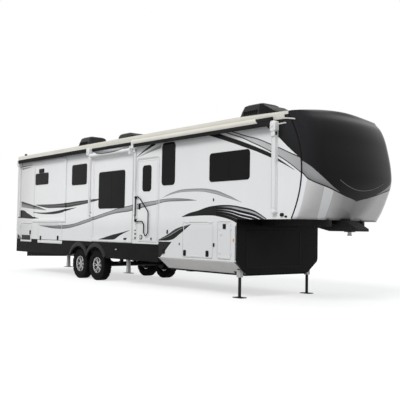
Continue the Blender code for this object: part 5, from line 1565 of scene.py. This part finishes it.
@dataclass(frozen=True)
class AwningPlan:
    """One awning's ends, its case's end, lower edge and slant, and its valance's foot."""

    name: str
    low: float
    high: float
    case_end: float
    case_start: float
    slant: float
    valance: float


@dataclass
class Awnings(Assembly):
    """Two awnings, rolled up under the roof edge between long arms."""

    roll_y: float = -1.305
    roll_z: float = 3.42
    roll_r: float = 0.056
    case_stop: float = 166.0
    case_foot: float = 3.377
    arm_foot: float = 1.72
    slim: Point3 = (0.036, 0.048, 3.485)
    wide: Point3 = (0.049, 0.085, 3.4)
    plans: tuple[AwningPlan, ...] = (
        AwningPlan("rear", 0.2, 4.57, 4.54, 38.0, 0.0, 3.35),
        AwningPlan("front", 6.72, 11.4, 11.03, -34.0, 0.8, 3.3),
    )

    def build(self) -> None:
        """Build both awnings, the rail that carries them and the cord between them."""
        for plan in self.plans:
            self.roll(plan)
            self.case(plan)
            for place, station in (("back", plan.low), ("front", plan.high)):
                size = self.wide if plan.slant and place == "front" else self.slim
                self.arm(f"{plan.name}_{{}}_{place}", station, size)
        self.edge_rail()

    def roll(self, plan: AwningPlan) -> None:
        """The dark fabric, rolled on its tube, with its valance hanging below.

        Args:
            plan: The awning.
        """
        low, high = plan.low, plan.high
        form = Form().turned(spot(low + 0.05, self.roll_y, self.roll_z), AHEAD,
                             ((self.roll_r, 0.0), (self.roll_r, high - low - 0.1)), 28)
        run = Vector((high - low - 0.12, 0, 0))
        lift = Vector((0, 0, 0.003))
        form.skin([[p, p + lift, p + run + lift, p + run] for p in (
            spot(low + 0.06, -1.236, 3.485), spot(low + 0.06, -1.3, self.roll_z + self.roll_r))])
        form.along(((-1.352, 3.4), (-1.356, plan.valance), (-1.35, plan.valance), (-1.346, 3.4)),
                   ((low + 0.06, 0.0), (high - 0.06, 0.0)))
        self.add(form, f"awning_{plan.name}_fabric", "fabric_dark", "rail_black")

    def case(self, plan: AwningPlan) -> None:
        """The pale cover over the roll, with a slanted front end where the plan says so.

        Args:
            plan: The awning.
        """
        sweep = self.case_stop - plan.case_start
        angles = [math.radians(plan.case_start + sweep * step / 12) for step in range(13)]
        outer, inner = ([(self.roll_y - (self.roll_r + out) * math.cos(angle),
                          self.roll_z + (self.roll_r + up) * math.sin(angle)) for angle in angles]
                        for out, up in ((0.01, 0.012), (0.005, 0.006)))
        form = Form().skin([[spot(x - slant * (z - self.case_foot), y, z) for y, z in outer + inner[::-1]]
                            for x, slant in ((plan.low + 0.03, 0.0), (plan.case_end, plan.slant))])
        self.add(form, f"awning_{plan.name}_case", "cream_metal", "awning_metal", replaces=[f"awning_{plan.name}"])

    def arm(self, name: str, station: float, size: Point3) -> None:
        """One arm: a channel on the wall, a second one nested in it, and a rounded head.

        Args:
            name: The awning's name and which end of it, with a gap for the part's name.
            station: The arm's station.
            size: Half its width, its depth and its head's top.
        """
        plane = Plane.wall(Side.CAMP)
        half, depth, top = size
        lip, inner, foot = half - 0.01, half - 0.012, self.arm_foot
        channel = ((-half, 0.0), (half, 0.0), (half, depth - 0.002), (lip, depth), (lip, depth - 0.014),
                   (-lip, depth - 0.014), (-lip, depth), (-half, depth - 0.002))
        form = Form().skin([[plane.at(station + u, v, h) for u, h in channel] for v in (foot, top - 0.12)])
        for reach, v0, v1, radius, low, high, edge in (
                (inner, foot + 0.02, top - 0.14, 0.006, depth - 0.018, depth - 0.003, 0.004),
                (half + 0.004, foot - 0.045, foot + 0.025, 0.03, 0.0, depth + 0.004, 0.01),
                (0.03, foot + 0.055, foot + 0.08, 0.006, depth - 0.008, depth + 0.004, 0.003)):
            form.panel(plane, Rect(station - reach, station + reach, v0, v1, radius), low, high, edge)
        self.add(form, f"awning_{name.format('arm')}", "white_metal", "awning_metal")
        form = Form()
        for reach, v0, v1, radius, low, high, edge in (
                (0.07, top - 0.215, top, 0.05, 0.012, 0.128, 0.02),
                (half, top - 0.3, top - 0.14, 0.03, 0.03, depth + 0.027, 0.012),
                (0.035, top - 0.13, top - 0.03, 0.034, 0.12, 0.141, 0.01)):
            form.panel(plane, Rect(station - reach, station + reach, v0, v1, radius), low, high, edge)
        self.add(form, f"awning_{name.format('head')}", "white_metal", "awning_metal")

    def edge_rail(self) -> None:
        """The long pale rail under the roof edge that carries the fabrics, and the dark cord below it."""
        section = ((-1.2325, 3.455), (-1.25, 3.458), (-1.256, 3.47), (-1.252, 3.566), (-1.2325, 3.576))
        form = Form().along(section, ((0.02, 0.0), (10.3, 0.0), (11.62, -0.042)))
        self.add(form, "awning_edge_rail", "cream_metal", "awning_metal")
        section = ((-1.2215, 3.385), (-1.25, 3.392), (-1.262, 3.425), (-1.25, 3.466), (-1.2215, 3.472))
        self.add(Form().along(section, ((4.66, 0.0), (6.63, 0.0))), "awning_edge_cord", "fabric_dark", "rail_black")


@dataclass
class Wheels(Assembly):
    """Four tyres with tread blocks on spoked alloy rims."""

    radius: float = 0.395
    half_width: float = 0.117
    rim_radius: float = 0.195
    centre_y: float = 1.064
    block_count: int = 34
    skew: float = 0.02
    spokes: int = 6
    twist: float = 0.17
    nuts: int = 8
    nut_circle: float = 0.049
    stations: tuple[tuple[str, float], ...] = (("rear", 4.003), ("front", 4.902))
    limb: tuple[tuple[float, ...], ...] = (
        (0.052, 0.5, 0.011, 0.07, 0.03), (0.11, 0.8, 0.008, 0.064, 0.026),
        (0.15, 1.0, 0.008, 0.068, 0.022), (0.187, 1.15, 0.011, 0.084, 0.026),
    )

    def build(self) -> None:
        """Build each wheel and hang it on its body."""
        for row, station in self.stations:
            for side in Side:
                centre = spot(station, side.value * self.centre_y, self.radius)
                out = Vector((0, side.value, 0))
                self.tyre(f"{row}_{side.label}", centre, out)
                self.rim(f"{row}_{side.label}", centre, out)

    def tyre(self, tag: str, centre: Vector, out: Vector) -> None:
        """A tyre with a turned carcass, shoulder lugs and three rows of blocks.

        Args:
            tag: The wheel's name.
            centre: Its centre.
            out: The outward direction.
        """
        rim, half, tread = self.rim_radius, self.half_width, self.radius - 0.011
        side = [(rim + 0.002, half * 0.7), (rim + 0.01, half * 0.82), (rim + 0.022, half * 0.9),
                (rim + 0.05, half * 0.985), (rim + 0.075, half), (rim + 0.08, half + 0.0015), (rim + 0.086, half),
                (rim + 0.118, half * 0.975), (tread - 0.016, half * 0.93), (tread - 0.002, half * 0.82),
                (tread, half * 0.7)]
        form = Form().turned(centre, out, [*side, *((r, -a) for r, a in reversed(side)), side[0]], 72, ends=False)
        for near, far, share, offset in ((0.62, 0.93, 0.62, 0.0), (0.22, 0.56, 0.66, 0.5), (-0.16, 0.16, 0.6, 0.1)):
            self.blocks(form, centre, out, half * near, half * far, share, offset)
        self.add(form, f"tyre_tread_{tag}", "tyre", "tyre_rubber", f"wheel_{tag}", [f"tyre_{tag}"], 28)

    def blocks(self, form: Form, centre: Vector, out: Vector, near: float, far: float, share: float,
               offset: float) -> None:
        """A ring of tread blocks, and its mirror unless it lies in the middle.

        Args:
            form: The form to add to.
            centre: The wheel's centre.
            out: The outward direction.
            near: The block's inner edge across the tread.
            far: Its outer edge. A block that starts past half the tread folds down over the shoulder.
            share: The share of the pitch that rubber takes.
            offset: How far the ring is turned, in pitches.
        """
        shoulder = near > self.half_width / 2
        pitch = 2 * math.pi / self.block_count
        top, root = self.radius, self.radius - 0.014
        for sign in (1, -1) if near > 0 else (1,):
            section = [(near, root), (near, top), (far, top), (far, root)]
            if shoulder:
                section = [(near, root), (near, top), (far * 0.93, top - 0.001), (far, top - 0.01),
                           (far * 1.045, top - 0.036), (far * 0.99, top - 0.036)]
            for number in range(self.block_count):
                skew = self.skew if number % 2 else -self.skew
                rings = []
                for part in (0.0, 0.5, 1.0):
                    angle = (number + offset + part * share) * pitch
                    ring = []
                    for along, radius in section:
                        turn = angle + (skew if shoulder else skew * 2 * sign * along / self.half_width)
                        ring.append(centre + out * (sign * along) + spin(turn) * radius)
                    rings.append(ring)
                form.skin(rings)

    def rim(self, tag: str, centre: Vector, out: Vector) -> None:
        """A bright rim: lip, barrel, twin spokes, hub cap and nuts, over a dark drum.

        Args:
            tag: The wheel's name.
            centre: Its centre.
            out: The outward direction.
        """
        rim = self.rim_radius
        lip = ((rim - 0.012, -0.07), (rim - 0.009, 0.05), (rim - 0.006, 0.086), (rim - 0.001, 0.096),
               (rim + 0.006, 0.098), (rim + 0.01, 0.094), (rim + 0.009, 0.088), (rim + 0.001, 0.084),
               (rim + 0.001, -0.07))
        form = Form().turned(centre, out, [*lip, lip[0]], 64, ends=False)
        for number in range(self.spokes):
            for twist in (-self.twist, self.twist):
                self.spoke(form, centre, out, 2 * math.pi * number / self.spokes, twist)
        form.turned(centre, out, ((0.06, 0.02), (0.064, 0.06), (0.06, 0.072), (0.044, 0.077), (0.042, 0.075)), 40)
        form.turned(centre, out, ((0.03, 0.072), (0.03, 0.096), (0.026, 0.105), (0.016, 0.109), (0.004, 0.11)), 32)
        for number in range(self.nuts):
            angle = 2 * math.pi * (number + 0.5) / self.nuts
            place = centre + spin(angle) * self.nut_circle
            form.turned(place, out, ((0.008, 0.066), (0.008, 0.084), (0.006, 0.09)), 6)
        self.add(form, f"rim_face_{tag}", "alloy_bright", "alloy", f"wheel_{tag}", [f"rim_{tag}"], 32)
        drum = ((0.03, -0.088), (0.168, -0.088), (0.176, -0.08), (0.174, 0.008), (0.16, 0.016), (0.06, 0.022))
        self.add(Form().turned(centre, out, drum, 40), f"drum_{tag}", "alloy_shadow", "frame_black", f"wheel_{tag}")

    def spoke(self, form: Form, centre: Vector, out: Vector, angle: float, twist: float) -> None:
        """One limb of a twin spoke, from the hub to the barrel.

        Args:
            form: The form to add to.
            centre: The wheel's centre.
            out: The outward direction.
            angle: The twin spoke's angle.
            twist: How far this limb leans from it.
        """
        rings = []
        for radius, spread, width, face, thick in self.limb:
            middle = angle + twist * spread
            base = centre + spin(middle) * radius
            tangent = Vector((-math.sin(middle), 0, math.cos(middle)))
            rings.append([base + tangent * t + out * h for t, h in (
                (-width, face - thick), (-width, face - 0.006), (-width * 0.55, face), (width * 0.55, face),
                (width, face - 0.006), (width, face - thick))])
        form.skin(rings)


@dataclass
class Running(Assembly):
    """Frame, axles, springs, legs, pin box and bumper below the body."""

    leg_y: float = 1.0
    leg_stations: tuple[float, ...] = (6.15, 3.05)
    leg_foot: float = 0.25
    leg_top: float = 0.39
    front_leg: float = 10.21

    def build(self) -> None:
        """Dress the running gear and add its brackets."""
        self.dress(("chassis_frame", "axle_rear", "axle_front", "springs_camp", "springs_off", "pin_box",
                    "rear_bumper"), "frame_paint")
        self.dress(("mid_legs", "rear_legs"), "leg_steel")
        self.dress(("front_legs",), "leg_black")
        self.dress(("kingpin",), "steel", 40)
        self.leg_details()
        self.pin_box_details()
        self.bumper_details()

    def leg_details(self) -> None:
        """Sleeves, foot ribs and pins on the legs."""
        form = Form()
        foot, top, front = self.leg_foot, self.leg_top, self.front_leg
        for side in Side:
            y = side.value * self.leg_y
            blocks = [(front, 0.049, 0.049, 0.41, 0.56, 0.006)]
            for station in self.leg_stations:
                blocks += [(station, 0.044, 0.044, foot + 0.016, top, 0.006),
                           (station, 0.006, 0.07, foot + 0.01, foot + 0.03, 0.002),
                           (station, 0.1, 0.006, foot + 0.01, foot + 0.03, 0.002)]
                form.turned(spot(station, y - 0.045, top + 0.06), ACROSS, ((0.009, 0.0), (0.009, 0.09)), 10)
            for station, long, wide, low, high, edge in blocks:
                form.block((station - long, y - wide, low), (station + long, y + wide, high), edge)
            for z in (0.445, 0.525):
                form.turned(spot(front, y - 0.056, z), ACROSS, ((0.012, 0.0), (0.012, 0.112)), 10)
        self.add(form, "leg_fittings", "leg_steel", "steel_grey")

    def pin_box_details(self) -> None:
        """Bolt rows, side strips and the wear plate on the pin box."""
        form = Form()
        for side in Side:
            y = side.value * 0.17
            for station in (11.44, 11.5, 11.56, 11.8, 11.86, 11.92):
                for z in (1.46, 1.535):
                    form.turned(spot(station, y, z), Vector((0, side.value, 0)),
                                ((0.014, 0.0), (0.014, 0.008), (0.009, 0.012)), 6)
            low, high = sorted((y, y + side.value * 0.012))
            form.block((11.98, low, 1.405), (12.36, high, 1.45), 0.004)
        form.turned(spot(12.15, 0.0, 1.352), UP, ((0.1, 0.0), (0.105, 0.006), (0.1, 0.013)), 32)
        self.add(form, "pin_box_fittings", "frame_paint", "frame_black")

    def bumper_details(self) -> None:
        """End caps on the bumper."""
        form = Form()
        for side in Side:
            low, high = sorted((side.value * 1.05, side.value * 1.062))
            form.block((-0.164, low, 0.636), (-0.056, high, 0.744), 0.006)
        self.add(form, "bumper_caps", "rubber", "rail_black")


@dataclass
class RoofGear(Assembly):
    """Air conditioners, vent and roof fittings."""

    units: tuple[tuple[str, float], ...] = (("rear", 2.55), ("front", 9.755))
    stacks: tuple[tuple[float, ...], ...] = (
        (5.9, 0.62, 0.045, 0.07), (3.6, -0.66, 0.045, 0.07), (8.4, 0.55, 0.045, 0.07), (1.2, 0.5, 0.04, 0.06))

    def build(self) -> None:
        """Dress the roof gear and add its louvres, covers and stacks."""
        for name, station in self.units:
            self.dress((f"air_conditioner_{name}",), "shroud", 30)
            self.louvres(name, station)
        self.dress(("roof_vent",), "shroud", 30)
        self.vent_cover()
        self.small_fittings()

    def louvres(self, name: str, station: float) -> None:
        """Slats on both flanks and ridges along the top of a shroud, and the front one's sloped fairing.

        Args:
            name: Which unit.
            station: Its middle.
        """
        form = Form()
        for side in Side:
            low, high = sorted((side.value * 0.3, side.value * 0.338))
            for number in range(7):
                x = station - 0.22 + number * 0.062
                form.block((x, low, 3.8), (x + 0.03, high, 3.93), 0.006)
        for y in (-0.16, 0.0, 0.16):
            form.block((station - 0.24, y - 0.012, 4.06), (station + 0.22, y + 0.012, 4.088), 0.006)
        if name == "front":
            nose = ((10.02, 3.7), (10.46, 3.7), (10.46, 3.84), (10.4, 3.875), (10.13, 4.015), (10.02, 4.045))
            form.skin([[spot(x, y * (1 - 0.25 * (z - 3.7)), z) for x, z in nose] for y in (-0.345, 0.345)])
        self.add(form, f"air_conditioner_slats_{name}", "plastic_black", "shroud_plastic")

    def vent_cover(self) -> None:
        """The vent's lid, under a taller cover with a drawn-in top."""
        rings = [[(4.42 + cut, -0.3 + cut, z), (5.06 - cut * 2, -0.3 + cut, z), (5.06 - cut * 2, 0.3 - cut, z),
                  (4.42 + cut, 0.3 - cut, z)] for cut, z in ((0.0, 3.69), (0.01, 3.89), (0.04, 3.95), (0.09, 3.98))]
        form = Form().skin([[spot(x, y, z) for x, y, z in ring] for ring in rings])
        self.add(form, "roof_vent_cover", "shroud", "shroud_plastic")
        form = Form().panel(Plane.level(3.868), Rect.about(4.65, 0.0, 0.36, 0.36, 0.05), 0.0, 0.012, 0.005)
        self.add(form, "roof_vent_lid", "plastic_black", "shroud_plastic")

    def small_fittings(self) -> None:
        """Stack vents along the roof, and a knob at its rear corner."""
        form = Form()
        for station, y, radius, height in self.stacks:
            cap = ((radius * 1.7, 0.0), (radius * 1.6, 0.006), (radius, 0.012), (radius, height),
                   (radius * 1.25, height + 0.004), (radius * 1.2, height + 0.02), (radius * 0.4, height + 0.03))
            form.turned(spot(station, y, crown(y / ROOF_HALF, lift=0.008)), UP, cap, 24)
        self.add(form, "roof_stacks", "plastic_black", "shroud_plastic")
        knob = ((0.035, 0.0), (0.04, 0.02), (0.036, 0.05), (0.012, 0.062))
        form = Form().turned(spot(0.42, -1.18, 3.605), UP, knob, 20)
        self.add(form, "roof_corner_knob")


@dataclass
class RearEnd(Assembly):
    """Ladder, tail lamps and rear fittings."""

    lamp_y: float = 1.02

    def build(self) -> None:
        """Dress the rear end and add its lamps' frames, markers, plate holder and ladder feet."""
        self.dress(("rear_ladder",), "alloy_bright", 40)
        for side in Side:
            self.dress((f"tail_lamp_{side.label}",), "lens_red")
            self.lamp_surround(side)
        self.plate_and_lamps()
        self.ladder_feet()

    def lamp_surround(self, side: Side) -> None:
        """A frame round a tail lamp with its lens divisions.

        Args:
            side: Which side.
        """
        y = side.value * self.lamp_y
        frame_section = ((0.014, 0.0), (0.014, 0.018), (0.004, 0.029), (-0.006, 0.029), (-0.008, 0.0255),
                         (-0.008, 0.0))
        form = Form().moulding(Plane.rear(), Rect(y - 0.06, y + 0.06, 1.15, 1.5, 0.03), frame_section)
        form.plates(Plane.rear(), ((y, v, 0.11, 0.008, 0.001, 0.024, 0.029, 0.002) for v in (1.265, 1.385)))
        self.add(form, f"tail_lamp_frame_{side.label}")

    def plate_and_lamps(self) -> None:
        """Five marker lamps at the top, and a bare plate holder."""
        form = Form().plates(Plane.rear(), ((y, 3.42, 0.085, 0.026, 0.012, 0.0, 0.016, 0.006)
                                            for y in (-1.05, -0.18, 0.0, 0.18, 1.05)))
        self.add(form, "rear_marker_lamps", "lens_red", "lamp_red")
        form = Form().plates(Plane.rear(), ((-0.55, 1.22, 0.33, 0.17, 0.012, 0.0, 0.006, 0.002),))
        self.add(form, "plate_holder", "white_metal", "awning_metal")

    def ladder_feet(self) -> None:
        """Round feet where the ladder's stays meet the wall."""
        foot = ((0.026, 0.0), (0.026, 0.004), (0.016, 0.01))
        form = Form()
        for y in (0.59, 0.93):
            for z in (1.35, 2.35, 3.35):
                form.turned(Plane.rear().at(y, z), -AHEAD, foot, 20)
        self.add(form, "ladder_feet", "alloy_bright", "alloy")


# Studio


@dataclass
class Studio:
    """Floor, soft lights, white surroundings and the camera."""

    place: Point3 = (13.887, -10.105, 1.3187)
    yaw: float = 140.755
    pitch: float = 2.705
    roll: float = 0.96
    lens: float = 59.75
    floor_reach: float = 400.0
    floor_glow: float = 0.62
    sky: float = 0.66
    suns: tuple[tuple[str, float, float, Point3], ...] = (
        ("key", 1.66, 25.0, (-0.35, 1.0, -0.95)), ("front", 0.35, 40.0, (-1.0, -0.15, -0.5)))

    def build(self) -> None:
        """Build the studio."""
        self.floor()
        self.world()
        self.lamps()
        self.camera()
        bpy.context.scene.view_settings.view_transform = "Standard"

    def floor(self) -> None:
        """A wide pale floor that keeps the trailer's shadow."""
        reach = self.floor_reach
        data = bpy.data.meshes.new("studio_floor")
        data.from_pydata([(-reach, -reach, 0), (reach, -reach, 0), (reach, reach, 0), (-reach, reach, 0)], [],
                         [(0, 1, 2, 3)])
        floor = bpy.data.objects.new("studio_floor", data)
        bpy.context.scene.collection.objects.link(floor)
        graph = Graph("studio_floor")
        diffuse = graph.node("ShaderNodeBsdfDiffuse")
        graph.feed(diffuse.inputs[0], graph.ramp(graph.noise(0.4), ((0.3, grey(0.42)), (0.7, grey(0.44)))))
        glow = graph.node("ShaderNodeEmission")
        glow.inputs[0].default_value = (1, 1, 1, 1)
        graph.feed(glow.inputs[1], graph.math("MULTIPLY", graph.seen_directly(), self.floor_glow))
        both = graph.node("ShaderNodeAddShader")
        graph.feed(both.inputs[0], diffuse.outputs[0])
        graph.feed(both.inputs[1], glow.outputs[0])
        graph.feed(graph.output.inputs[0], both.outputs[0])
        data.materials.append(graph.owner)

    def world(self) -> None:
        """White surroundings for the camera, softer light for the object."""
        graph = Graph("studio", world=True)
        bpy.context.scene.world = graph.owner
        mix = graph.node("ShaderNodeMixShader")
        graph.feed(mix.inputs[0], graph.seen_directly())
        for socket, colour, strength in ((mix.inputs[1], (0.96, 0.98, 1.0, 1), self.sky),
                                         (mix.inputs[2], (1, 1, 1, 1), 1.0)):
            background = graph.node("ShaderNodeBackground")
            background.inputs[0].default_value = colour
            background.inputs[1].default_value = strength
            graph.feed(socket, background.outputs[0])
        graph.feed(graph.output.inputs[0], mix.outputs[0])

    def lamps(self) -> None:
        """A soft key from the camp side, and a weaker one from the front."""
        for name, strength, spread, direction in self.suns:
            data = bpy.data.lights.new(name, "SUN")
            data.energy = strength
            data.angle = math.radians(spread)
            lamp = bpy.data.objects.new(name, data)
            lamp.visible_glossy = False
            lamp.rotation_euler = Vector(direction).to_track_quat("-Z", "Y").to_euler()
            bpy.context.scene.collection.objects.link(lamp)

    def camera(self) -> None:
        """The camera at the photograph's place."""
        data = bpy.data.cameras.new("camera")
        data.lens = self.lens
        data.sensor_width = 36.0
        camera = bpy.data.objects.new("camera", data)
        yaw, pitch, roll = (math.radians(angle) for angle in (self.yaw, self.pitch, self.roll))
        ahead = Vector((math.cos(yaw) * math.cos(pitch), math.sin(yaw) * math.cos(pitch), math.sin(pitch)))
        level = Vector((math.sin(yaw), -math.cos(yaw), 0.0))
        upright = level.cross(ahead)
        right = level * math.cos(roll) + upright * math.sin(roll)
        up = -level * math.sin(roll) + upright * math.cos(roll)
        camera.matrix_world = Matrix.Translation(self.place) @ Matrix((right, up, -ahead)).transposed().to_4x4()
        bpy.context.scene.collection.objects.link(camera)
        bpy.context.scene.camera = camera


def main() -> None:
    """Build every sub-assembly in order, then the studio."""
    palette = Palette()
    for part in (Shell(palette), NoseCap(palette), Windows(palette), Doors(palette), SlideRooms(palette),
                 Awnings(palette), Wheels(palette), Running(palette), RoofGear(palette), RearEnd(palette), Studio()):
        LOG.info("building %s", type(part).__name__)
        part.build()


if __name__ == "__main__":
    main()
